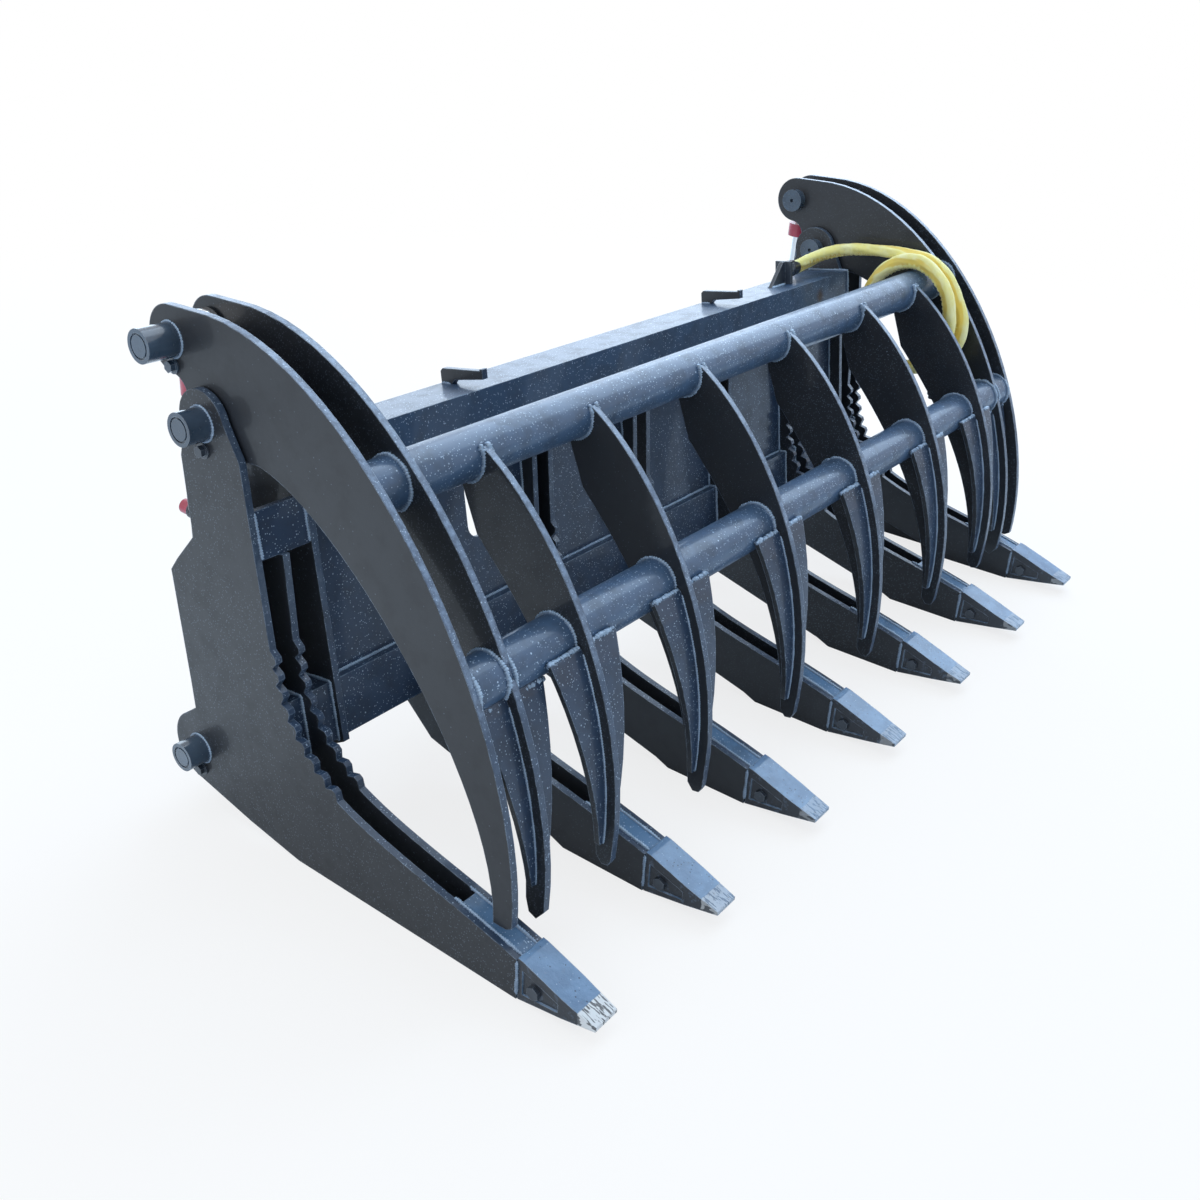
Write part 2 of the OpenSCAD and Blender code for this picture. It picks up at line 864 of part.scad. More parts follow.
module swept_tube(route) {
    n = len(route);
    s = hose_sides;
    polyhedron(
        points = [for (i = [0:n - 1]) each ring_at(route, i)],
        faces = concat(
            [[for (k = [0:s - 1]) k]],
            [for (i = [0:n - 2]) for (k = [0:s - 1])
                [i * s + k, (i + 1) * s + k, (i + 1) * s + (k + 1) % s, i * s + (k + 1) % s]],
            [[for (k = [s - 1:-1:0]) (n - 1) * s + k]]
        )
    );
}

module hose_run() {
    color(sleeve)
        swept_tube(run_route);
}

module hose_loop() {
    color(sleeve)
        swept_tube(loop_route);
}

// Collar on the end of the sleeve, and a coupler on each of the two lines
module hose_couplers() {
    color(black)
        translate(loop_route[len(loop_route) - 1]) {
            translate([0, 0, -10])
                cylinder(h = 10, d = hose_d + 2);
            for (side = [-1, 1])
                translate([0, side * (coupler_d / 2 + 0.5), 0]) {
                    translate([0, 0, -10 - coupler_l])
                        cylinder(h = coupler_l, d = coupler_d);
                    translate([0, 0, -18 - coupler_l])
                        cylinder(h = 9, d = coupler_d * 0.7);
                }
        }
}

side_plate(-1);  // side_plate_left
side_plate(1);  // side_plate_right
lug_plate(-1);  // lug_plate_left
lug_plate(1);  // lug_plate_right
inner_tine_plate(-1);  // inner_tine_plate_left
inner_tine_plate(1);  // inner_tine_plate_right
tine(2);  // tine_2
tine(3);  // tine_3
tine(4);  // tine_4
tine(5);  // tine_5
tine(6);  // tine_6
tine_noses();
tooth(1);  // tooth_1
tooth(2);  // tooth_2
tooth(3);  // tooth_3
tooth(4);  // tooth_4
tooth(5);  // tooth_5
tooth(6);  // tooth_6
tooth(7);  // tooth_7
tooth_bolts();
top_beam();
lower_beam();
back_panels();
cross_plates();
attach_plate(-1);  // attach_plate_left
attach_plate(1);  // attach_plate_right
top_hooks();
fork_pin(main_pivot, -1);  // pivot_pin_left
fork_pin(main_pivot, 1);  // pivot_pin_right
fork_pin(base_pivot, -1);  // base_pin_left
fork_pin(base_pivot, 1);  // base_pin_right
base_spacers();
keeper_bolts();
hose_bulkhead();
arm_outer(-1);  // arm_outer_left
arm_outer(1);  // arm_outer_right
arm_inner(-1);  // arm_inner_left
arm_inner(1);  // arm_inner_right
cross_tube(upper_tube_at);  // upper_tube
cross_tube(lower_tube_at);  // lower_tube
blade(1);  // blade_1
blade(2);  // blade_2
blade(3);  // blade_3
blade(4);  // blade_4
blade(5);  // blade_5
blade(6);  // blade_6
wing_plates();
rod_pin(-1);  // rod_pin_left
rod_pin(1);  // rod_pin_right
cylinder_barrel(-1);  // cylinder_barrel_left
cylinder_barrel(1);  // cylinder_barrel_right
port_plugs(-1);  // port_plugs_left
port_plugs(1);  // port_plugs_right
piston_rod(-1);  // piston_rod_left
piston_rod(1);  // piston_rod_right
stroke_collar(-1);  // stroke_collar_left
stroke_collar(1);  // stroke_collar_right
hose_run();
hose_loop();
hose_couplers();
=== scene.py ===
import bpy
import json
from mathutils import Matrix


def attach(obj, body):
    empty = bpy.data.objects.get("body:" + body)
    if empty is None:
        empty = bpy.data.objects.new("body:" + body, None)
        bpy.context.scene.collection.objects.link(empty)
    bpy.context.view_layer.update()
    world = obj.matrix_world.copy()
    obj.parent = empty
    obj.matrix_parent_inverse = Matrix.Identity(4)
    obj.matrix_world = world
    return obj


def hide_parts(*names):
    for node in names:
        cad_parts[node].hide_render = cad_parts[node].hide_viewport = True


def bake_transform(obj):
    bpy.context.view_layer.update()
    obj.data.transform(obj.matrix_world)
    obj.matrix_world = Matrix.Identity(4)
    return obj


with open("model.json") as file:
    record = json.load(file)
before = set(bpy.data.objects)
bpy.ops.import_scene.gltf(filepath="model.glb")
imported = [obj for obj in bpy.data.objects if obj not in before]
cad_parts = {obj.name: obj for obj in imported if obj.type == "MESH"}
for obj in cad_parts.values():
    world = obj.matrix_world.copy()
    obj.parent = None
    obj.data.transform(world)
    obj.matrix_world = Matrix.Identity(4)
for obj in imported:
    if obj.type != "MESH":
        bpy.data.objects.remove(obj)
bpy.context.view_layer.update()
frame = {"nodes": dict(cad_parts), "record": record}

import json
import math
import random
import bmesh
import bpy
from mathutils import Matrix, Vector, noise

random.seed(11)
noise.seed_set(11)
scene = bpy.context.scene
scene.view_settings.view_transform = "Standard"
cadNodes = frame["nodes"]
mergeGap = 0.00001

# Camera at the photograph's viewing angle
photoCamera = {
    "lens": 37.7,
    "sensor": 36.0,
    "place": (-1.9485, -1.1610, 1.3246),
    "turn": (62.548, -2.706, -52.330),  # degrees
}
camera = bpy.data.cameras.new("photoCamera")
camera.lens = photoCamera["lens"]
camera.sensor_width = photoCamera["sensor"]
cameraObject = bpy.data.objects.new("photoCamera", camera)
scene.collection.objects.link(cameraObject)
cameraObject.location = photoCamera["place"]
cameraObject.rotation_euler = [math.radians(a) for a in photoCamera["turn"]]
scene.camera = cameraObject
print("camera placed")


# places in the frame: x along the width, u behind the tooth tips, v above the ground
def place(x, u, v):
    return Vector((x, u - 0.449, v))


def leaned(x, y, z):
    c, s = math.cos(math.radians(8)), math.sin(math.radians(8))
    return place(x, y * c + z * s, -y * s + z * c + 0.025)


def bezier(p, t):
    k = (pow(1 - t, 3), 3 * pow(1 - t, 2) * t, 3 * (1 - t) * t * t, t * t * t)
    return sum(a * q[0] for a, q in zip(k, p)), sum(a * q[1] for a, q in zip(k, p))


def meshObject(name, bm, smooth=True):
    mesh = bpy.data.meshes.new(name)
    bm.to_mesh(mesh)
    bm.free()
    for face in mesh.polygons:
        face.use_smooth = smooth
    made = bpy.data.objects.new(name, mesh)
    scene.collection.objects.link(made)
    return made


# Hose in its sleeve
sleeve = {
    "route": [  # millimetres, from the gland on the beam, once round the upper tube, to the couplers
        (640, 251, 690), (650, 251, 690), (660, 251, 690), (680, 251, 690), (727, 242, 700),
        (765, 216, 716), (791, 177, 726), (800, 131, 731), (800, 80, 735), (800, 30, 736),
        (800, -16, 730), (800, -58, 704), (800, -92, 662), (798, -118, 606), (796, -108, 546),
        (793, -64, 502), (789, -4, 486), (785, 56, 502), (781, 100, 546), (777, 116, 606),
        (773, 100, 666), (769, 56, 714), (765, -2, 732), (762, -50, 714), (760, -88, 672),
        (760, -104, 615), (760, -106, 560), (760, -106, 505),
    ],
    "diameter": 0.030,
    "stepsPerSpan": 10,
    "ringGap": 0.0045,
    "sides": 28,
    "oval": 0.0022,
    "ovalTurn": 5,  # radians per metre
    "fold": 0.0026,
    "pucker": 0.0016,
    "puckerPitch": 0.0125,
    "bendScale": 0.00018,
    "plain": (0.03, 1.34),  # length of the smooth ends, and where the far one stops
    "inset": 0.0004,
    "mostGrow": 0.0030,
    "growSpan": 0.0034,
}


def smoothLine(points, steps):
    ends = [2 * points[0] - points[1]] + points + [2 * points[-1] - points[-2]]
    line = []
    for a, b, c, d in zip(ends, ends[1:], ends[2:], ends[3:]):
        for i in range(steps):
            t = i / steps
            line.append(0.5 * (2 * b + (c - a) * t + (2 * a - 5 * b + 4 * c - d) * t * t
                               + (3 * b - a - 3 * c + d) * t ** 3))
    return line + [points[-1].copy()]


def evenLine(points, gap):
    line, left = [points[0].copy()], gap
    for a, b in zip(points, points[1:]):
        span, done = (b - a).length, 0.0
        while span - done >= left:
            done += left
            line.append(a.lerp(b, done / span))
            left = gap
        left -= span - done
    if (line[-1] - points[-1]).length < gap * 0.5:
        line.pop()
    return line + [points[-1].copy()]


def makeSleeve():
    corners = [Vector(p) / 1000 for p in sleeve["route"]]
    line = evenLine(smoothLine(corners, sleeve["stepsPerSpan"]), sleeve["ringGap"])
    radius, sides = sleeve["diameter"] / 2, sleeve["sides"]
    plain, plainTo = sleeve["plain"]
    bm = bmesh.new()
    uv = bm.loops.layers.uv.new("UVMap")
    depth = bm.verts.layers.float.new("foldShade")
    rings, across, run = [], Vector((0, 0, 1)), 0.0
    for i, point in enumerate(line):
        after, before = line[min(i + 1, len(line) - 1)], line[max(i - 1, 0)]
        along = (after - before).normalized()
        across = (across - along * across.dot(along)).normalized()
        third = along.cross(across)
        bend = after + before - 2 * point if 0 < i < len(line) - 1 else Vector()
        run += (point - line[max(i - 1, 0)]).length
        ends = max(0.0, min(1.0, run / plain, (plainTo - run) / plain))
        ring = []
        for k in range(sides):
            angle = 2 * math.pi * k / sides
            outward = across * math.cos(angle) + third * math.sin(angle)
            wave = noise.noise(outward * 1.3 + Vector((0, 0, run * 17)))
            pulls = noise.noise(outward * 2.4 + Vector((run * 45, 3, 0)))
            inner = max(0.0, outward.dot(bend)) / sleeve["bendScale"]
            pucker = math.sin(run * 2 * math.pi / sleeve["puckerPitch"] + 2.5 * wave) * min(1.0, inner)
            folds = sleeve["fold"] * wave + 0.6 * sleeve["fold"] * pulls + sleeve["pucker"] * pucker
            grow = sleeve["oval"] * math.cos(2 * (angle - run * sleeve["ovalTurn"])) + ends * folds
            grow = min(grow, sleeve["mostGrow"])
            vert = bm.verts.new(point + outward * (radius - sleeve["inset"] + grow))
            # how deep a point lies in a fold, for the painted shade in the folds
            vert[depth] = max(0.0, min(1.0, 0.45 - grow / sleeve["growSpan"]))
            ring.append(vert)
        rings.append((run, ring))
    for (v0, low), (v1, high) in zip(rings, rings[1:]):
        for k in range(sides):
            face = bm.faces.new((low[k], low[(k + 1) % sides], high[(k + 1) % sides], high[k]))
            edges = (k / sides, (k + 1) / sides)
            corners = ((edges[0], v0), (edges[1], v0), (edges[1], v1), (edges[0], v1))
            for loop, spot in zip(face.loops, corners):
                loop[uv].uv = (spot[0] * math.pi * sleeve["diameter"], spot[1])
    bm.faces.new(reversed(rings[0][1]))
    bm.faces.new(rings[-1][1])
    bmesh.ops.recalc_face_normals(bm, faces=bm.faces)
    return meshObject("hoseSleeve", bm), line


# profile is a list of (distance along the axis, radius), from axis to axis or, where closed, a ring
def spunPart(bm, profile, centre, axis, steps=40, side=None, closed=False):
    axis = Vector(axis).normalized()
    side = side or axis.orthogonal().normalized()
    verts = [bm.verts.new(Vector(centre) + axis * a + side * r) for a, r in profile]
    after = verts[1:] + verts[:1] if closed else verts[1:]
    edges = [bm.edges.new(pair) for pair in zip(verts, after)]
    bmesh.ops.spin(bm, geom=verts + edges, cent=centre, axis=axis, angle=2 * math.pi, steps=steps,
                   use_merge=True)


def closeUp(bm):
    bmesh.ops.remove_doubles(bm, verts=bm.verts, dist=mergeGap)
    bmesh.ops.dissolve_degenerate(bm, edges=bm.edges, dist=mergeGap)
    bmesh.ops.recalc_face_normals(bm, faces=bm.faces)


def ringPart(name, profile, centre, axis, side):
    bm = bmesh.new()
    spunPart(bm, profile, centre, axis, side=side, closed=True)
    closeUp(bm)
    return meshObject(name, bm)


def hexPart(bm, centre, axis, across, length):
    axis = Vector(axis).normalized()
    turned = Vector((0, 0, 1)).rotation_difference(axis).to_matrix().to_4x4()
    where = Matrix.Translation(Vector(centre) + axis * length / 2) @ turned
    bmesh.ops.create_cone(bm, cap_ends=True, segments=6, radius1=across / math.sqrt(3),
                          radius2=across / math.sqrt(3), depth=length, matrix=where)


sleeveObject, sleeveLine = makeSleeve()
sleeveLength = sum((b - a).length for a, b in zip(sleeveLine, sleeveLine[1:]))
print("sleeve made, %.3f m long" % sleeveLength)

couplers = {
    "at": (0.760, -0.106, 0.505),
    "apart": 0.0248,
    "ferrule": 0.0215,
    "body": 0.0246,
    "hex": 0.0225,
    "crimps": 3,
    "crimpPitch": 0.0045,
}


def makeCouplers():
    bm = bmesh.new()
    top = Vector(couplers["at"])
    cuff = [(-0.004, 0), (-0.004, 0.0146), (-0.0025, 0.0160), (0.009, 0.0160), (0.0105, 0.0146), (0.0105, 0)]
    spunPart(bm, cuff, top, (0, 0, -1))
    for side in (-1, 1):
        middle = top + Vector((0, side * couplers["apart"] / 2, 0))
        ferrule, body = couplers["ferrule"] / 2, couplers["body"] / 2
        crimps = [(0.006, 0), (0.006, ferrule)]
        for k in range(couplers["crimps"]):
            low = 0.0105 + k * couplers["crimpPitch"]
            crimps += [(low, ferrule), (low + 0.0008, ferrule - 0.0009), (low + 0.0026, ferrule - 0.0009),
                       (low + 0.0034, ferrule)]
        crimps += [(0.026, ferrule), (0.0268, ferrule - 0.0008), (0.0268, 0)]
        spunPart(bm, crimps, middle, (0, 0, -1), 32)
        hexPart(bm, middle - Vector((0, 0, 0.0262)), (0, 0, -1), couplers["hex"], 0.0085)
        shell = [(0.0345, 0), (0.0345, body - 0.002), (0.0355, body - 0.0006), (0.0375, body), (0.046, body),
                 (0.0468, body - 0.0014), (0.0484, body - 0.0014), (0.0492, body), (0.0595, body),
                 (0.061, body - 0.001), (0.062, body - 0.0026), (0.062, body - 0.0034),
                 (0.0685, body - 0.0034), (0.070, body - 0.0044), (0.070, 0.0062), (0.0675, 0.0058),
                 (0.0675, 0)]
        spunPart(bm, shell, middle, (0, 0, -1))
    closeUp(bm)
    return meshObject("hoseEndCouplers", bm)


couplerObject = makeCouplers()
print("couplers made")


# one output of a shader node, with sums and mixes of such outputs
class Wire:
    def __init__(self, tree, socket=None):
        self.tree = tree
        self.socket = socket

    def node(self, kind, settings=None, inputs=None, out=0):
        made = self.tree.nodes.new("ShaderNode" + kind)
        for name, value in (settings or {}).items():
            setattr(made, name, value)
        for name, value in (inputs or {}).items():
            if isinstance(value, Wire):
                self.tree.links.new(value.socket, made.inputs[name])
            else:
                made.inputs[name].default_value = value
        return Wire(self.tree, made.outputs[out])

    def maths(self, operation, *values):
        return self.node("Math", {"operation": operation}, dict(enumerate(values)))

    def __add__(self, other):
        return self.maths("ADD", self, other)

    def __radd__(self, other):
        return self.maths("ADD", other, self)

    def __sub__(self, other):
        return self.maths("SUBTRACT", self, other)

    def __rsub__(self, other):
        return self.maths("SUBTRACT", other, self)

    def __mul__(self, other):
        return self.maths("MULTIPLY", self, other)

    def __rmul__(self, other):
        return self.maths("MULTIPLY", other, self)

    def clear(self, low, high):
        return self.node("MapRange", {"interpolation_type": "SMOOTHSTEP"}, {0: self, 1: low, 2: high})

    def mixed(self, low, high):
        return self.node("Mix", {"data_type": "RGBA"}, {0: self, 6: asShade(low), 7: asShade(high)}, 2)


def asShade(value):
    return value if isinstance(value, Wire) else (*value, 1)


def newMaterial(name):
    made = bpy.data.materials.new(name)
    made.use_nodes = True
    made.node_tree.nodes.clear()
    return made, Wire(made.node_tree)


def finishMaterial(made, fixed, varied):
    shader = made.node_tree.nodes.new("ShaderNodeBsdfPrincipled")
    for name, value in fixed.items():
        shader.inputs[name].default_value = value
    for name, link in varied.items():
        made.node_tree.links.new(link.socket, shader.inputs[name])
    output = made.node_tree.nodes.new("ShaderNodeOutputMaterial")
    made.node_tree.links.new(shader.outputs[0], output.inputs[0])
    return made


def spotsOf(wire, offset=(0, 0, 0)):
    return wire.node("Mapping", {}, {0: wire.node("TexCoord", out=3), 1: offset})


def noiseOf(wire, scale, detail=3, rough=0.5, offset=(0, 0, 0)):
    spots = spotsOf(wire, offset)
    return wire.node("TexNoise", {}, {"Vector": spots, "Scale": scale, "Detail": detail, "Roughness": rough})


# small round dots of uneven size, where the cell's own number is high
def speckOf(wire, scale, size, offset=(0, 0, 0)):
    spots = {"Vector": spotsOf(wire, offset), "Scale": scale, "Randomness": 1.0}
    cells = wire.node("TexVoronoi", {}, spots)
    chance = wire.node("SeparateColor", {}, {0: wire.node("TexVoronoi", {}, spots, 1)})
    limit = chance.clear(0.35, 1.0) * size
    return wire.node("MapRange", {"interpolation_type": "SMOOTHSTEP"}, {0: cells, 1: limit, 2: limit * 0.45})


# the normal of the rounded edges, and how far it faces the flat one: 1 away from edges
def edgeOf(wire, radius, samples=4):
    rounded = wire.node("Bevel", {"samples": samples}, {0: radius})
    flat = wire.node("NewGeometry", out=1)
    facing = wire.node("VectorMath", {"operation": "DOT_PRODUCT"}, {0: rounded, 1: flat}, 1)
    return rounded, facing


enamelLooks = {
    "side": (0.013, 0.016, 0.022),
    "body": (0.016, 0.038, 0.082),
    "cloud": (0.5, 0.45, 0.4),
    "dropGlint": (0.56, 0.70, 0.88),
    "edge": (0.34, 0.45, 0.60),
    "cutGlint": (0.085, 0.120, 0.175),
    "rust": (0.085, 0.050, 0.026),
    "rustPlace": (0.691, 0.190, 0.631),
    "rustSize": (0.030, 0.012),
    "rough": 0.38,
    "edgeRadius": 0.0026,
    "cutRadius": 0.0042,
    "brightFrom": (0.38, 0.46),
    "coat": 0.30,
}


# 1 on faces that look up, down, forwards or back, and 0 on the broad sides of upright plates
def offSides(wire):
    sideways = wire.node("SeparateXYZ", {}, {0: wire.node("NewGeometry", out=1)})
    return wire.maths("ABSOLUTE", sideways).clear(0.85, 0.45)


# gloss paint with clouding, painted shade on the broad sides of upright plates, fine drops painted as pale
# glints, edges painted bright partly as wear and partly as a highlight, and a little orange peel
def makeEnamel(name, looks, dropSize=0.24, edgeShare=0.7, peel=0.15, cutGlintShare=0.0):
    made, wire = newMaterial(name)
    away = offSides(wire)
    cloud = noiseOf(wire, 3.2, 4).clear(0.35, 0.68)
    patch = noiseOf(wire, 24, 3, 0.6, (4, 1, 7)).clear(0.42, 0.70)
    wet = noiseOf(wire, 4.5, 3, 0.6, (9, 2, 3)).clear(0.40, 0.60)
    # water drops and fine specks painted as pale glints, most of them on faces that look up, down, forwards
    # or back
    glintDrops = speckOf(wire, 135, dropSize) * (0.45 + 0.55 * wet) * (0.22 + 0.78 * away)
    fineGlints = speckOf(wire, 300, 0.40, (3, 8, 1)) * (0.20 + 0.80 * away)
    fineGlints = fineGlints * noiseOf(wire, 9, 2, 0.5, (1, 5, 2)).clear(0.22, 0.50)
    rounded, facing = edgeOf(wire, looks["edgeRadius"])
    # edges painted pale along the rounded zone: partly wear, partly a painted highlight
    edge = facing.clear(0.990, 0.90)
    wornEdgeGlint = edge * (0.15 + 0.85 * noiseOf(wire, 46, 4, 0.65, (2, 2, 9)).clear(0.38, 0.60))
    # painted shade: the broad sides of upright plates take the darker side colour
    colour = away.mixed(looks["side"], looks["body"])
    lighter = [c * (1 + k) for c, k in zip(looks["body"], looks["cloud"])]
    colour = (cloud * away * 0.45).mixed(colour, lighter)
    colour = (patch * 0.35).mixed(colour, [0.7 * c for c in looks["side"]])
    if cutGlintShare:  # the flame-cut faces of the plates, with a painted highlight along the middle and above the lower tube, and dimmer below it as painted shade
        middle = edgeOf(wire, looks["cutRadius"], 6)[1].clear(0.90, 0.998)
        streaks = noiseOf(wire, 85, 5, 0.7, (7, 4, 4)).clear(0.36, 0.64)
        height = wire.node("SeparateXYZ", {}, {0: wire.node("TexCoord", out=3)}, 2)
        high = 0.15 + 0.85 * height.clear(*looks["brightFrom"])
        cut = away * middle * (0.40 + 0.60 * streaks) * high * cutGlintShare
        colour = cut.mixed(colour, looks["cutGlint"])
    colour = (wornEdgeGlint * edgeShare).mixed(colour, looks["edge"])
    colour = (glintDrops * 0.80).mixed(colour, looks["dropGlint"])
    colour = (fineGlints * 0.70).mixed(colour, looks["dropGlint"])
    far = wire.node("TexCoord", out=3)
    far = wire.node("VectorMath", {"operation": "DISTANCE"}, {0: far, 1: looks["rustPlace"]}, 1)
    rust = (far + 0.016 * noiseOf(wire, 70, 4, 0.7)).clear(*looks["rustSize"])
    colour = (rust * 0.8).mixed(colour, looks["rust"])
    rough = looks["rough"] + 0.10 * patch + 0.07 * noiseOf(wire, 130, 2) - 0.15 * glintDrops + 0.4 * rust
    height = noiseOf(wire, 340, 2) * peel + glintDrops * 0.9 + fineGlints * 0.5 + noiseOf(wire, 26, 2) * 0.5
    bump = {"Strength": 0.30, "Distance": 0.0012, "Height": height, "Normal": rounded}
    fixed = {"Coat Roughness": 0.07, "Coat IOR": 1.5, "IOR": 1.5, "Coat Weight": looks["coat"]}
    varied = {"Base Color": colour, "Roughness": rough, "Normal": wire.node("Bump", {}, bump)}
    return finishMaterial(made, fixed, varied)


toothLooks = {
    "side": (0.014, 0.018, 0.027),
    "body": (0.075, 0.165, 0.300),
    "light": (0.130, 0.250, 0.420),
    "edge": (0.36, 0.46, 0.60),
    "pit": (0.018, 0.034, 0.062),
    "bare": (0.74, 0.75, 0.76),
    "scratch": (0.045, 0.050, 0.060),
    "tip": 0.449,
    "bareLength": 0.030,
    "scuff": (0.13, 0.19, 0.28),
    "dropGlint": (0.48, 0.60, 0.76),
    "edgeRadius": 0.0030,
}


# cast steel under thin paint, bare along a sharp line at the cutting edge, most of all on the left
def makeTooth():
    made, wire = newMaterial("castTooth")
    spot = wire.node("TexCoord", out=3)
    away = offSides(wire)
    behind = wire.node("SeparateXYZ", {}, {0: spot}, 1) + toothLooks["tip"]
    torn = noiseOf(wire, 60, 3, 0.6) * 0.006
    bare = (behind + torn).clear(toothLooks["bareLength"] + 0.004, toothLooks["bareLength"] + 0.002)
    share = 0.30 + 0.70 * wire.node("SeparateXYZ", {}, {0: spot}).clear(-0.50, -0.85)
    turned = wire.node("Mapping", {}, {0: spot, 2: (0.0, 0.0, 0.6), 3: (330.0, 55.0, 120.0)})
    scratch = wire.node("TexNoise", {}, {"Vector": turned, "Scale": 1.0, "Detail": 2}).clear(0.53, 0.57)
    scuffs = noiseOf(wire, 70, 4, 0.7, (3, 3, 3)).clear(0.56, 0.66)
    rounded, facing = edgeOf(wire, toothLooks["edgeRadius"])
    # edges painted pale: partly wear, partly a painted highlight
    edge = facing.clear(0.985, 0.88) * (0.2 + 0.8 * noiseOf(wire, 55, 3, 0.6).clear(0.36, 0.6))
    cast = noiseOf(wire, 210, 3, 0.6)
    pits = speckOf(wire, 150, 0.30, (5, 1, 2)) * away
    # water drops painted as pale glints
    glintDrops = speckOf(wire, 190, 0.24, (2, 2, 2)) * (0.2 + 0.8 * away)
    colour = noiseOf(wire, 30, 4, 0.6).clear(0.3, 0.7).mixed(toothLooks["body"], toothLooks["light"])
    # painted shade on the broad sides of the teeth
    colour = away.mixed(toothLooks["side"], colour)
    colour = (scuffs * 0.35).mixed(colour, toothLooks["scuff"])
    colour = (edge * 0.75).mixed(colour, toothLooks["edge"])
    colour = (pits * 0.7).mixed(colour, toothLooks["pit"])
    colour = (glintDrops * 0.7).mixed(colour, toothLooks["dropGlint"])
    steel = (scratch * 0.9).mixed(toothLooks["bare"], toothLooks["scratch"])
    colour = (bare * share).mixed(colour, steel)
    rough = 0.30 + 0.16 * bare + 0.12 * cast + 0.10 * scuffs
    height = cast * 0.8 + noiseOf(wire, 36, 3) * 1.1 + scratch * bare * 0.7 - pits * 0.6
    bump = {"Strength": 0.50, "Distance": 0.0014, "Height": height, "Normal": rounded}
    varied = {"Base Color": colour, "Roughness": rough, "Normal": wire.node("Bump", {}, bump)}
    return finishMaterial(made, {"Coat Weight": 0.45, "Coat Roughness": 0.12}, varied)


bareSteelAndGlint = (0.40, 0.46, 0.54)


def makePlainPaint(name, body, light, rough, edgeRadius=0.0012, coat=0.4):
    made, wire = newMaterial(name)
    rounded, facing = edgeOf(wire, edgeRadius)
    # edges painted lighter: bare steel where worn, and a painted highlight
    edge = facing.clear(0.985, 0.88) * noiseOf(wire, 90, 3, 0.6).clear(0.30, 0.60)
    grime = noiseOf(wire, 42, 4, 0.6).clear(0.48, 0.74)
    colour = noiseOf(wire, 17, 3).clear(0.3, 0.7).mixed(body, light)
    colour = (grime * 0.35).mixed(colour, [0.45 * c for c in body])
    colour = (edge * 0.7).mixed(colour, bareSteelAndGlint)
    colour = (speckOf(wire, 150, 0.16) * 0.5).mixed(colour, bareSteelAndGlint)
    height = noiseOf(wire, 300, 3) * 0.5 + noiseOf(wire, 40, 2)
    bump = {"Strength": 0.22, "Distance": 0.0008, "Height": height, "Normal": rounded}
    spread = rough + 0.14 * grime + 0.06 * noiseOf(wire, 160, 2)
    varied = {"Base Color": colour, "Roughness": spread, "Normal": wire.node("Bump", {}, bump)}
    return finishMaterial(made, {"Coat Weight": coat, "Coat Roughness": 0.10}, varied)


def makeChrome():
    made, wire = newMaterial("rodChrome")
    spot = wire.node("TexCoord", out=3)
    drawn = wire.node("Mapping", {}, {0: spot, 3: (3, 3, 900)})
    rings = wire.node("TexNoise", {}, {"Vector": drawn, "Scale": 1.0, "Detail": 2})
    oil = noiseOf(wire, 22, 3).clear(0.45, 0.75)
    colour = (oil * 0.5).mixed((0.78, 0.80, 0.83), (0.62, 0.62, 0.60))
    normal = wire.node("Bump", {}, {"Strength": 0.06, "Distance": 0.0004, "Height": rings})
    rough = 0.10 + 0.05 * rings + 0.12 * oil
    varied = {"Base Color": colour, "Roughness": rough, "Normal": normal}
    return finishMaterial(made, {"Metallic": 1.0}, varied)


clothLooks = {
    "body": (0.97, 0.88, 0.30),
    "light": (0.99, 0.95, 0.52),
    "fold": (0.86, 0.60, 0.075),
    "weave": (0.72, 0.50, 0.07),
    "seam": (0.62, 0.42, 0.07),
    "stitches": (0.95, 0.86, 0.48),
    "thread": 0.0017,
    "stitch": 0.006,
    "seamAt": 0.31,
}


def makeSleeveCloth():
    made, wire = newMaterial("sleeveCloth")
    flat = wire.node("UVMap", {"uv_map": "UVMap"})
    around, along = [wire.node("SeparateXYZ", {}, {0: flat}, k) for k in range(2)]
    pitch = 2 * math.pi / clothLooks["thread"]
    warp = wire.maths("SINE", around * pitch)
    weft = wire.maths("SINE", along * pitch)
    weave = (warp * weft).clear(-1, 1)
    fold = wire.node("Attribute", {"attribute_name": "foldShade"}, {}, 2)
    blotch = noiseOf(wire, 26, 4, 0.6).clear(0.35, 0.7)
    offSeam = around * (1 / (math.pi * sleeve["diameter"])) - clothLooks["seamAt"]
    seam = wire.maths("ABSOLUTE", offSeam).clear(0.035, 0.012)
    stitch = wire.maths("SINE", along * (2 * math.pi / clothLooks["stitch"])).clear(-0.2, 0.4)
    colour = blotch.mixed(clothLooks["body"], clothLooks["light"])
    # painted shade: deeper points in the folds turn amber
    colour = (fold.clear(0.45, 0.95) * 0.80).mixed(colour, clothLooks["fold"])
    colour = ((1 - weave) * 0.10).mixed(colour, clothLooks["weave"])
    colour = (seam * 0.35).mixed(colour, clothLooks["seam"])
    colour = (seam * stitch * 0.7).mixed(colour, clothLooks["stitches"])
    height = weave * 0.5 + seam * 1.4 + seam * stitch * 0.8 + noiseOf(wire, 120, 3) * 0.5
    normal = wire.node("Bump", {}, {"Strength": 0.5, "Distance": 0.0006, "Height": height})
    rough = 0.62 + 0.12 * weave
    fixed = {"Sheen Weight": 0.45, "Sheen Roughness": 0.4, "Sheen Tint": (1.0, 0.95, 0.75, 1)}
    return finishMaterial(made, fixed, {"Base Color": colour, "Roughness": rough, "Normal": normal})
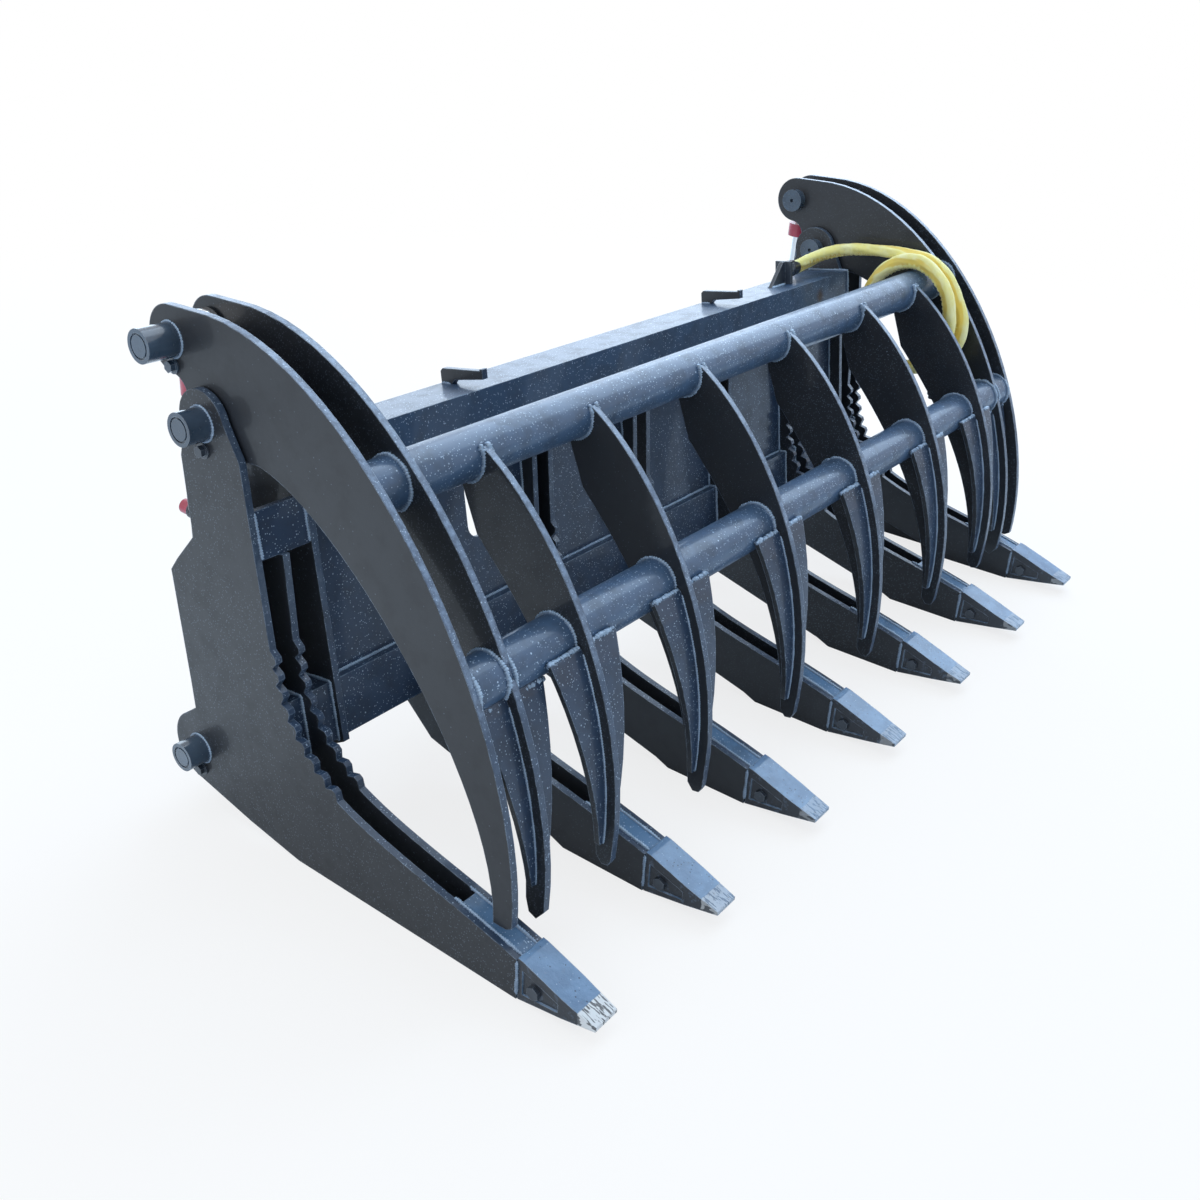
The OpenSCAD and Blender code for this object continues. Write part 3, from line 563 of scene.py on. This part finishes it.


# a lit copy of the enamel for the weld beads: their pale colours are a painted highlight
weldGlintLooks = dict(enamelLooks, side=(0.22, 0.30, 0.42), body=(0.30, 0.42, 0.58), cloud=(0.9, 0.8, 0.6))
weldGlintLooks.update(rough=0.20, edgeRadius=0.0008)
# lit copies of the one enamel: the tine noses, tubes and beams take lighter body colours as painted light,
# and the arms' cut faces a brighter painted highlight
noseLitLooks = dict(enamelLooks, body=(0.085, 0.185, 0.330))
armLooks = dict(enamelLooks, cutGlint=(0.24, 0.33, 0.47))
tubeLitLooks = dict(enamelLooks, body=(0.050, 0.098, 0.180))
beamLitLooks = dict(enamelLooks, body=(0.030, 0.066, 0.130))
materials = {
    "enamel": makeEnamel("slateEnamel", enamelLooks),
    "tube": makeEnamel("tubeEnamelLit", tubeLitLooks, 0.28),
    "beam": makeEnamel("beamEnamelLit", beamLitLooks),
    "plate": makeEnamel("plateEnamel", enamelLooks, edgeShare=0.55, cutGlintShare=0.8),
    "arm": makeEnamel("armEnamel", armLooks, cutGlintShare=0.8),
    "nose": makeEnamel("noseEnamelLit", noseLitLooks),
    "tooth_enamel": makeTooth(),
    "pins": makePlainPaint("pinPaint", (0.036, 0.060, 0.094), (0.066, 0.104, 0.155), 0.20, coat=0.8),
    "fittings": makePlainPaint("fittingPaint", (0.030, 0.040, 0.056), (0.050, 0.064, 0.086), 0.28),
    "rod_chrome": makeChrome(),
    "red_parts": makePlainPaint("redPaint", (0.40, 0.035, 0.070), (0.50, 0.060, 0.105), 0.32),
    "hose_sleeve": makeSleeveCloth(),
    "coupler_black": makePlainPaint("couplerBlack", (0.012, 0.015, 0.022), (0.022, 0.027, 0.036), 0.26),
    "weld": makeEnamel("weldEnamelGlint", weldGlintLooks, 0.55, 0.6, 0.4),
}
lookByStart = {
    "side_plate": "plate",
    "lug_plate": "plate",
    "inner_tine": "plate",
    "tine_": "plate",
    "tine_noses": "nose",
    "arm_": "arm",
    "blade_": "arm",
    "upper_tube": "tube",
    "lower_tube": "tube",
    "top_beam": "beam",
}
for part in frame["record"]["subparts"]:
    look = part["material_slot"]
    for start, special in lookByStart.items():
        if part["node"].startswith(start):
            look = special
    slots = cadNodes[part["node"]].data.materials
    if len(slots) == 0:
        slots.append(materials[look])
    for i in range(len(slots)):
        slots[i] = materials[look]
print("materials made")


def dress(made, material, body):
    made.data.materials.clear()
    made.data.materials.append(materials[material])
    if body:
        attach(made, body)
    return made


dress(sleeveObject, "hose_sleeve", None)
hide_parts("hose_run", "hose_loop")
dress(couplerObject, "coupler_black", "grapple")
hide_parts("hose_couplers")
print("hose dressed")


# Weld beads
weldBead = {
    "pitch": 0.0042,
    "ripple": (0.62, 1.22, 1.02),
    "sides": 1,
    "wander": 0.45,
    "wanderPitch": 0.06,
    "tail": (0.45, 0.2),  # share of the radius at the ends, and how much each point adds
    "stray": 0.28,
    "strayScale": 420,
}
weldRadius = {
    "tube": 0.0036,
    "boss": 0.0020,
    "corner": 0.0050,
    "wing": 0.0020,
    "wingTop": 0.0040,
    "hub": 0.0032,
    "beam": 0.0030,
    "panel": 0.0028,
    "nose": 0.0026,
    "hook": 0.0028,
    "barrel": 0.0032,
    "rod": 0.0026,
}


def makeWelds(name, body, lines, radius):
    curve = bpy.data.curves.new(name, "CURVE")
    curve.dimensions = "3D"
    curve.bevel_depth = 1.0
    curve.bevel_resolution = weldBead["sides"]
    curve.use_fill_caps = True
    for points in lines:
        line = evenLine(points, weldBead["pitch"] / 3)
        spline = curve.splines.new("POLY")
        spline.points.add(len(line) - 1)
        shift = random.uniform(0, 50)
        for i, point in enumerate(line):
            slow = noise.noise(Vector((i * weldBead["wanderPitch"], shift, 0)))
            tail = min(1.0, weldBead["tail"][0] + weldBead["tail"][1] * min(i, len(line) - 1 - i))
            stray = weldBead["stray"] * radius * noise.noise_vector(point * weldBead["strayScale"])
            spline.points[i].co = (*(point + stray), 1)
            spline.points[i].radius = radius * tail * (weldBead["ripple"][i % 3] + weldBead["wander"] * slow)
    holder = bpy.data.objects.new(name + "Line", curve)
    scene.collection.objects.link(holder)
    graph = bpy.context.evaluated_depsgraph_get()
    mesh = bpy.data.meshes.new_from_object(holder.evaluated_get(graph))
    mesh.name = name
    bpy.data.objects.remove(holder)
    for face in mesh.polygons:
        face.use_smooth = True
    made = bpy.data.objects.new(name, mesh)
    scene.collection.objects.link(made)
    print(name, len(mesh.polygons), "faces")
    return dress(made, "weld", body)


# start and turn are in degrees
def ringLine(x, centre, radius, start=0.0, turn=360.0):
    steps = 72
    turns = [math.radians(start + turn * i / steps) for i in range(steps + 1)]
    return [Vector((x, centre[0] + radius * math.sin(a), centre[1] + radius * math.cos(a))) for a in turns]


pivot, rodPivot, basePivot = (0.291, 0.703), (0.363, 0.806), (0.385, 0.112)
upperTube, lowerTube, tubeRadius = (0.001, 0.672), (-0.177, 0.440), 0.038
bladePlaces = (-0.705, -0.456, -0.152, 0.152, 0.456, 0.705)
armFaces = {"outer": (0.913, 0.925), "inner": (0.842, 0.854)}
bladeFront = ((0.415, 0.694), (0.290, 0.620), (0.130, 0.400), (0.148, 0.125))
armFront = ((0.757, 0.857), (0.450, 0.875), (0.160, 0.470), (0.160, 0.130))
tinePitch, tineHalf, lugFace = 0.304, 0.028, 0.826
bays = [(k * tinePitch + tineHalf, (k + 1) * tinePitch - tineHalf) for k in (-2, -1, 0, 1)]
bays += [(2 * tinePitch + tineHalf, lugFace), (-lugFace, -2 * tinePitch - tineHalf)]
lift = 0.0008  # of a bead's middle off a face
# front, back, low and high of the beams, with the lift
lowerBeam, topBeam = (0.5772, 0.6488, 0.2392, 0.3408), (0.5472, 0.6488, 0.6252, 0.7268)
frameBossX, armBossX, bossRing = 0.9406, 0.9256, 0.0262
bladeArc, bladeCorner = (-58, -132), (-52, -26)  # degrees

tubeWelds, tubeRing = [], tubeRadius + 0.0006
armWeldX = (armFaces["inner"][0] - 0.0012, armFaces["inner"][1] + 0.0012, armFaces["outer"][0] - 0.0012)
for tube in (upperTube, lowerTube):
    for x in bladePlaces:
        for face in (-1, 1):
            arc = bladeArc if tube == upperTube else (random.uniform(0, 360), 360)
            tubeWelds.append(ringLine(x + face * 0.0066, tube, tubeRing, *arc))
    for side in (-1, 1):
        for x in armWeldX:
            tubeWelds.append(ringLine(side * x, tube, tubeRing, random.uniform(0, 360)))
makeWelds("tubeWelds", "grapple", tubeWelds, weldRadius["tube"])

# rings round the bosses, and lumps where the blades' upper corners meet the tube
bossWelds, cornerWelds = [], []
for side in (-1, 1):
    for centre, x in ((pivot, frameBossX), (basePivot, frameBossX), (rodPivot, armBossX)):
        bossWelds.append(ringLine(side * x, centre, bossRing, random.uniform(0, 360)))
for x in bladePlaces:
    for face in (-1, 1):
        cornerWelds.append(ringLine(x + face * 0.0072, upperTube, tubeRadius + 0.0016, *bladeCorner))
makeWelds("bossWelds", "frame", bossWelds[:2] + bossWelds[3:5], weldRadius["boss"])
makeWelds("rodBossWelds", "grapple", bossWelds[2::3], weldRadius["boss"])
makeWelds("cornerWelds", "grapple", cornerWelds, weldRadius["corner"])

wings = {
    "low": 0.114,
    "high": 0.437,
    "setBack": 0.0174,
    "topSetBack": 0.0178,
    "faces": (-0.0068, 0.0068),
    "besideBlade": (0.008, 0.074),
    "besideArm": ((0.774, 0.840), (0.856, 0.911)),
    "beadStep": 0.0028,
    "beadJump": 0.0026,
    "beadWander": 0.0040,
    "beadLift": 0.0050,
}


def wingLine(front, x, face, setBack):
    line = []
    for i in range(61):
        u, v = bezier(front, i / 60)
        spot = place(x + face, u + setBack, v)
        clear = math.hypot(spot.y - lowerTube[0], spot.z - lowerTube[1]) > tubeRadius
        if wings["low"] < v < wings["high"] and clear:
            line.append(spot)
    return line


# uneven bead that fills the corner between the top of a wing and the lower tube
def wingTopLine(front, x0, x1):
    top = wingLine(front, 0, 0, wings["topSetBack"])[0]
    reach = max(0.0, math.hypot(top.y - lowerTube[0], top.z - lowerTube[1]) - tubeRadius)
    steps = max(2, int((x1 - x0) / wings["beadStep"]))
    line = []
    for i in range(steps + 1):
        wander = wings["beadWander"] * noise.noise(Vector((i * 0.7, x0 * 40, 0)))
        jump = wings["beadJump"] * (-1) ** i + wander
        x = x0 + (x1 - x0) * i / steps
        line.append(Vector((x, top.y + reach * 0.6 - jump * 0.6, top.z + wings["beadLift"] + jump)))
    return line


wingTops, wingWelds = [], []
near, far = wings["besideBlade"]
for x in bladePlaces:
    for face in wings["faces"]:
        wingWelds.append(wingLine(bladeFront, x, face, wings["setBack"]))
    wingTops += [wingTopLine(bladeFront, *ends) for ends in ((x - far, x - near), (x + near, x + far))]
for side in (-1, 1):
    middle = side * sum(armFaces["inner"]) / 2
    for face in wings["faces"]:
        wingWelds.append(wingLine(armFront, middle, face, wings["setBack"]))
    for ends in wings["besideArm"]:
        wingTops.append(wingTopLine(armFront, *sorted(side * x for x in ends)))
makeWelds("wingWelds", "grapple", wingWelds, weldRadius["wing"])
makeWelds("wingTopWelds", "grapple", wingTops, weldRadius["wingTop"])

hubWelds = []
for side in (-1, 1):
    for x in (armFaces["inner"][1] + 0.0010, armFaces["outer"][0] - 0.0010):
        hubWelds.append(ringLine(side * x, pivot, 0.0300, random.uniform(0, 360)))
makeWelds("hubWelds", "grapple", hubWelds, weldRadius["hub"])

tinePlates = []
for i in range(-2, 3):
    middle = i * tinePitch
    tinePlates += [(middle - tineHalf, middle - 0.016), (middle + 0.016, middle + tineHalf)]
tinePlates += [(-0.896, -0.884), (0.884, 0.896)]


def beamRing(x, beam, start):
    front, back, low, high = beam
    corners = ((front, start), (front, high), (back, high), (back, low), (front, low))
    return [leaned(x, y, z) for y, z in corners]


beamWelds = []
front, _, low, high = lowerBeam
under, backEnd, startAt = topBeam[2], 0.646, 0.236
for x0, x1 in tinePlates:
    outer = abs(x0) > 0.8
    for x in (x0 - lift, x1 + lift):
        if not outer:
            beamWelds.append([leaned(x, 0.566, under), leaned(x, backEnd, under)])
        beamWelds.append([leaned(x, front, startAt), leaned(x, front, high), leaned(x, backEnd, high)])
        beamWelds.append([leaned(x, front, low), leaned(x, backEnd, low)])
for x, way in ((lugFace, -1), (0.838, 1), (0.928, -1)):
    for side in (-1, 1):
        beamWelds.append(beamRing(side * (x + way * lift), lowerBeam, startAt))
for side in (-1, 1):
    beamWelds.append(beamRing(side * (lugFace - lift), topBeam, under))
makeWelds("beamWelds", "frame", beamWelds, weldRadius["beam"])

panelWelds, footFrom = [], 0.342
for x0, x1 in bays:
    for y in (0.5952, 0.6048):
        left, right = x0 + lift, x1 - lift
        corners = ((left, footFrom), (left, under), (right, under), (right, footFrom))
        panelWelds.append([leaned(x, y, z) for x, z in corners])
        panelWelds.append([leaned(x0 + 0.002, y, high), leaned(x1 - 0.002, y, high)])
for side in (-1, 1):
    for x in (0.8388, 0.9272):
        for y in (0.5702, 0.5838):
            panelWelds.append([leaned(side * x, y, 0.577), leaned(side * x, y, 0.648)])
for middle in (-0.385, 0.385):
    for x in (middle - 0.130, middle + 0.130):
        for ends in ((0.240, 0.338), (0.628, 0.678)):
            panelWelds.append([leaned(x, lowerBeam[1], z) for z in ends])
makeWelds("panelWelds", "frame", panelWelds, weldRadius["panel"])

tineTop = ((0.4969, 0.1648), (0.3989, 0.1218), (0.280, 0.112), (0.138, 0.072))
noseWelds = []
for i in range(-3, 4):
    middle = i * tinePitch
    for x in (middle - 0.0158, middle + 0.0158):
        tops = [bezier(tineTop, 0.68 + 0.32 * k / 12) for k in range(13)]
        noseWelds.append([place(x, u, v + 0.0004) for u, v in tops])
    for face in (-0.0284, 0.0284):
        noseWelds.append([place(middle + face, 0.1372, v) for v in (0.010, 0.030, 0.050, 0.070)])
makeWelds("noseWelds", "frame", noseWelds, weldRadius["nose"])

# round the feet of the top hooks, and along the bulkhead's gusset
hookWelds, beamTop = [], 0.7265
for x in (-0.450, 0.350):
    for face in (-0.0065, 0.0065):
        hookWelds.append([leaned(x + face, y, beamTop) for y in (0.6245, 0.6455)])
for y in (0.5948, 0.6064):
    hookWelds.append([leaned(x, y, beamTop) for x in (0.556, 0.613)])
makeWelds("hookWelds", "frame", hookWelds, weldRadius["hook"])
print("welds made")


# Back panels: the second bay from the left has a long slot to look through
panels = {
    "y": (0.596, 0.604),
    "z": (0.340, 0.626),
    "slotWidth": 0.050,
    "slot": (0.458, 0.600),
    "slotAt": -0.456,
}


def slotOutline(x):
    r, low, high = panels["slotWidth"] / 2, *panels["slot"]
    turns = [math.pi + math.pi * k / 12 for k in range(13)]
    foot = [(x + r * math.cos(a), low + r + r * math.sin(a)) for a in turns]
    return foot + [(x + r, high), (x - r, high)]


def closedLoop(bm, points, y):
    verts = [bm.verts.new(leaned(x, y, z)) for x, z in points]
    return [bm.edges.new(pair) for pair in zip(verts, verts[1:] + verts[:1])]


def thicken(bm, faces, reach):
    made = bmesh.ops.extrude_face_region(bm, geom=faces)
    moved = [g for g in made["geom"] if isinstance(g, bmesh.types.BMVert)]
    bmesh.ops.translate(bm, verts=moved, vec=leaned(0, reach, 0) - leaned(0, 0, 0))


def fillIn(bm, edges):
    filled = bmesh.ops.triangle_fill(bm, use_beauty=True, use_dissolve=False, edges=edges)
    return [g for g in filled["geom"] if isinstance(g, bmesh.types.BMFace)]


def makePanels():
    bm = bmesh.new()
    low, high = panels["z"]
    front, back = panels["y"]
    edges = []
    for x0, x1 in bays:
        edges += closedLoop(bm, [(x0, low), (x1, low), (x1, high), (x0, high)], front)
        if x0 < panels["slotAt"] < x1:
            edges += closedLoop(bm, slotOutline(panels["slotAt"]), front)
    thicken(bm, fillIn(bm, edges), back - front)
    closeUp(bm)
    return meshObject("backPanels", bm, False)


panelObject = dress(makePanels(), "enamel", "frame")
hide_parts("back_panels")


window = {
    "corners": ((0.350, 0.415), (0.470, 0.415), (0.480, 0.425), (0.480, 0.600),
                (0.470, 0.610), (0.350, 0.610), (0.340, 0.600), (0.340, 0.425)),
    "front": 0.640,
    "deep": 0.030,
}


# a merged copy of an attach plate, with a window; the left one lies behind the slot
def cutWindow(node, name, side):
    cutter = bmesh.new()
    edges = closedLoop(cutter, [(side * x, z) for x, z in window["corners"]], window["front"])
    thicken(cutter, fillIn(cutter, edges), window["deep"])
    closeUp(cutter)
    tool = meshObject(name + "Tool", cutter, False)
    bm = bmesh.new()
    bm.from_mesh(cadNodes[node].data)
    bmesh.ops.remove_doubles(bm, verts=bm.verts, dist=mergeGap)
    blank = meshObject(name + "Blank", bm, False)
    cut = blank.modifiers.new("window", "BOOLEAN")
    cut.object, cut.operation, cut.solver = tool, "DIFFERENCE", "EXACT"
    mesh = bpy.data.meshes.new_from_object(blank.evaluated_get(bpy.context.evaluated_depsgraph_get()))
    mesh.name = name
    for spent in (blank, tool):
        bpy.data.objects.remove(spent)
    made = bpy.data.objects.new(name, mesh)
    scene.collection.objects.link(made)
    dress(made, "enamel", "frame")
    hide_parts(node)


cutWindow("attach_plate_left", "attachPlateLeft", -1)
cutWindow("attach_plate_right", "attachPlateRight", 1)
print("panels and attach plates made")


# Bulkhead: a gusset and an end plate on the beam, with a hex fitting that the sleeve leaves
bulkhead = {
    "gusset": ((0.554, 0.726), (0.616, 0.726), (0.616, 0.776), (0.606, 0.776)),
    "gussetY": (0.5956, 0.6056),
    "endPlate": (0.614, 0.622),
    "endY": (0.5800, 0.6212),
    "endZ": (0.726, 0.777),
    "fitting": (0.6006, 0.756),
    "bevel": 0.0012,
    "hex": 0.032,
    "hexLength": 0.009,
    "ferrule": 0.0178,
}


def addPlate(bm, corners, front, back):
    edges = closedLoop(bm, corners, front)
    thicken(bm, [bm.faces.new([e.verts[0] for e in edges])], back - front)


def makeBulkhead():
    bm = bmesh.new()
    x0, x1 = bulkhead["endPlate"]
    z0, z1 = bulkhead["endZ"]
    addPlate(bm, bulkhead["gusset"], *bulkhead["gussetY"])
    addPlate(bm, [(x0, z0), (x1, z0), (x1, z1), (x0, z1)], *bulkhead["endY"])
    bmesh.ops.recalc_face_normals(bm, faces=bm.faces)
    sharp = [e for e in bm.edges if e.calc_face_angle(0) > 1.2]
    bmesh.ops.bevel(bm, geom=sharp, offset=bulkhead["bevel"], offset_type="OFFSET", affect="EDGES",
                    segments=2, profile=0.5, material=-1, clamp_overlap=True)
    middle = leaned(0, *bulkhead["fitting"])
    hexPart(bm, (x1, middle.y, middle.z), (1, 0, 0), bulkhead["hex"], bulkhead["hexLength"])
    r = bulkhead["ferrule"]
    shell = [(0.008, 0), (0.008, r - 0.001), (0.009, r), (0.0125, r), (0.013, r - 0.001),
             (0.0145, r - 0.001), (0.015, r), (0.0178, r), (0.0185, r - 0.001), (0.0185, 0)]
    spunPart(bm, shell, (x1, middle.y, middle.z), (1, 0, 0))
    closeUp(bm)
    return meshObject("hoseBulkhead", bm, False)


bulkheadObject = dress(makeBulkhead(), "fittings", "frame")
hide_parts("hose_bulkhead")
print("bulkhead made")


# Cylinder trim
cylinderTrim = {
    "x": 0.8835,
    "length": 0.69435,
    "gland": 0.448,
    "eyeReach": 0.0345,  # from a pin to the weld of its eye
    "barrelRing": 0.0306,
    "rodRing": 0.0168,
    "wiper": ((-0.001, 0.0164), (-0.001, 0.0225), (0.0008, 0.0225), (0.0016, 0.0212), (0.0026, 0.0182),
              (0.0028, 0.0164)),  # above the gland's end, and radius
}
tilt = math.atan2(0.022, 0.694)
cylinderBack = Vector((0, math.cos(tilt), math.sin(tilt)))
cylinderUp = Vector((0, -math.sin(tilt), math.cos(tilt)))
widthAxis = Vector((1, 0, 0))


def alongCylinder(side, far):
    return Vector((side * cylinderTrim["x"], *basePivot)) + cylinderUp * far


def ringAcross(side, far, radius):
    middle = alongCylinder(side, far)
    turns = [2 * math.pi * i / 64 for i in range(65)]
    return [middle + cylinderBack * radius * math.cos(a) + widthAxis * radius * math.sin(a) for a in turns]


def makeWiper(side, name):
    ring = [(cylinderTrim["gland"] + a, r) for a, r in cylinderTrim["wiper"]]
    return ringPart(name, ring, alongCylinder(side, 0), cylinderUp, widthAxis)


for side, word in ((-1, "Left"), (1, "Right")):
    body = word.lower() + "_barrel"
    barrelRing = ringAcross(side, cylinderTrim["eyeReach"], cylinderTrim["barrelRing"])
    makeWelds("barrelWelds" + word, body, [barrelRing], weldRadius["barrel"])
    dress(makeWiper(side, "rodWiper" + word), "coupler_black", body)
    rodRing = ringAcross(side, cylinderTrim["length"] - cylinderTrim["eyeReach"], cylinderTrim["rodRing"])
    makeWelds("rodWelds" + word, word.lower() + "_rod", [rodRing], weldRadius["rod"])
print("cylinder trim made")


# Strain relief on the gland
relief = {
    "from": 0.6405,
    "to": 0.668,
    "start": 0.0188,
    "end": 0.0163,
    "steps": 8,
    "groove": 0.0006,
    "bore": 0.0152,
}


def makeRelief():
    long, steps, bore = relief["to"] - relief["from"], relief["steps"], relief["bore"]
    ring = []
    for k in range(steps + 1):
        t = k / steps
        groove = relief["groove"] if k % 2 else 0.0
        ring.append((t * long, relief["start"] + (relief["end"] - relief["start"]) * t - groove))
    ring += [(long, bore), (0.0, bore)]
    middle = Vector((relief["from"], 0.251, 0.690))
    return ringPart("hoseRelief", ring, middle, widthAxis, Vector((0, 0, 1)))


dress(makeRelief(), "coupler_black", "frame")

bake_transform(sleeveObject)


# Floor, light and background
studio = {
    "floor": 0.90,
    "floorReach": 150,
    "floorGlow": 0.78,
    "glowFrom": 1.3,
    "glowTo": 4.5,
    "skyLight": 0.62,
    "skyTint": (0.78, 0.89, 1.0),
}


def makeFloor():
    bm = bmesh.new()
    bmesh.ops.create_grid(bm, x_segments=1, y_segments=1, size=studio["floorReach"])
    floor = meshObject("studioFloor", bm, False)
    made, wire = newMaterial("paleFloor")
    tree = made.node_tree
    matt = tree.nodes.new("ShaderNodeBsdfDiffuse")
    matt.inputs[0].default_value = (studio["floor"], studio["floor"], studio["floor"], 1)
    glow = tree.nodes.new("ShaderNodeEmission")
    path = tree.nodes.new("ShaderNodeLightPath")
    away = wire.node("VectorMath", {"operation": "LENGTH"}, {0: wire.node("TexCoord", out=3)}, 1)
    more = (1 - studio["floorGlow"]) * away.clear(studio["glowFrom"], studio["glowTo"])
    glowing = studio["floorGlow"] + more
    seen = Wire(tree, path.outputs["Is Camera Ray"]) * glowing
    mix = tree.nodes.new("ShaderNodeMixShader")
    output = tree.nodes.new("ShaderNodeOutputMaterial")
    tree.links.new(seen.socket, mix.inputs[0])
    tree.links.new(matt.outputs[0], mix.inputs[1])
    tree.links.new(glow.outputs[0], mix.inputs[2])
    tree.links.new(mix.outputs[0], output.inputs[0])
    floor.data.materials.append(made)


def makeSky():
    world = bpy.data.worlds.new("studioSky")
    scene.world = world
    world.use_nodes = True
    tree = world.node_tree
    tree.nodes.clear()
    path = tree.nodes.new("ShaderNodeLightPath")
    rays = ("Is Camera Ray", "Is Glossy Ray", "Is Transmission Ray")
    direct, glossy, through = [Wire(tree, path.outputs[name]) for name in rays]
    seen = direct.maths("MAXIMUM", direct, direct.maths("MAXIMUM", glossy, through))
    soft = tree.nodes.new("ShaderNodeBackground")
    soft.inputs[0].default_value = (*studio["skyTint"], 1)
    soft.inputs[1].default_value = studio["skyLight"]
    white = tree.nodes.new("ShaderNodeBackground")
    white.inputs[0].default_value = (1, 1, 1, 1)
    mix = tree.nodes.new("ShaderNodeMixShader")
    output = tree.nodes.new("ShaderNodeOutputWorld")
    tree.links.new(seen.socket, mix.inputs[0])
    tree.links.new(soft.outputs[0], mix.inputs[1])
    tree.links.new(white.outputs[0], mix.inputs[2])
    tree.links.new(mix.outputs[0], output.inputs[0])


lamps = {
    "overhead": {"place": (0.0, 0.4, 3.6), "size": (3.6, 2.6), "power": 40, "tint": (0.72, 0.86, 1)},
    "behind": {"place": (3.6, 3.9, 1.75), "size": (6.5, 3.2), "power": 120, "tint": (0.62, 0.80, 1)},
    "right": {"place": (3.7, 0.5, 3.7), "size": (5.5, 3.4), "power": 190, "tint": (0.60, 0.79, 1)},
    "left": {"place": (-3.8, 0.6, 1.8), "size": (2.4, 2.0), "power": 24, "tint": (1, 1, 1)},
}


def makeLamps():
    for name, looks in lamps.items():
        lamp = bpy.data.lights.new(name, "AREA")
        lamp.shape = "RECTANGLE"
        lamp.size, lamp.size_y = looks["size"]
        lamp.energy = looks["power"]
        lamp.color = looks["tint"]
        made = bpy.data.objects.new(name, lamp)
        scene.collection.objects.link(made)
        made.location = looks["place"]
        made.visible_camera = False
        aim = Vector((0, 0, 0.4)) - Vector(looks["place"])
        made.rotation_euler = aim.to_track_quat("-Z", "Y").to_euler()


makeFloor()
makeSky()
makeLamps()
print("studio made")
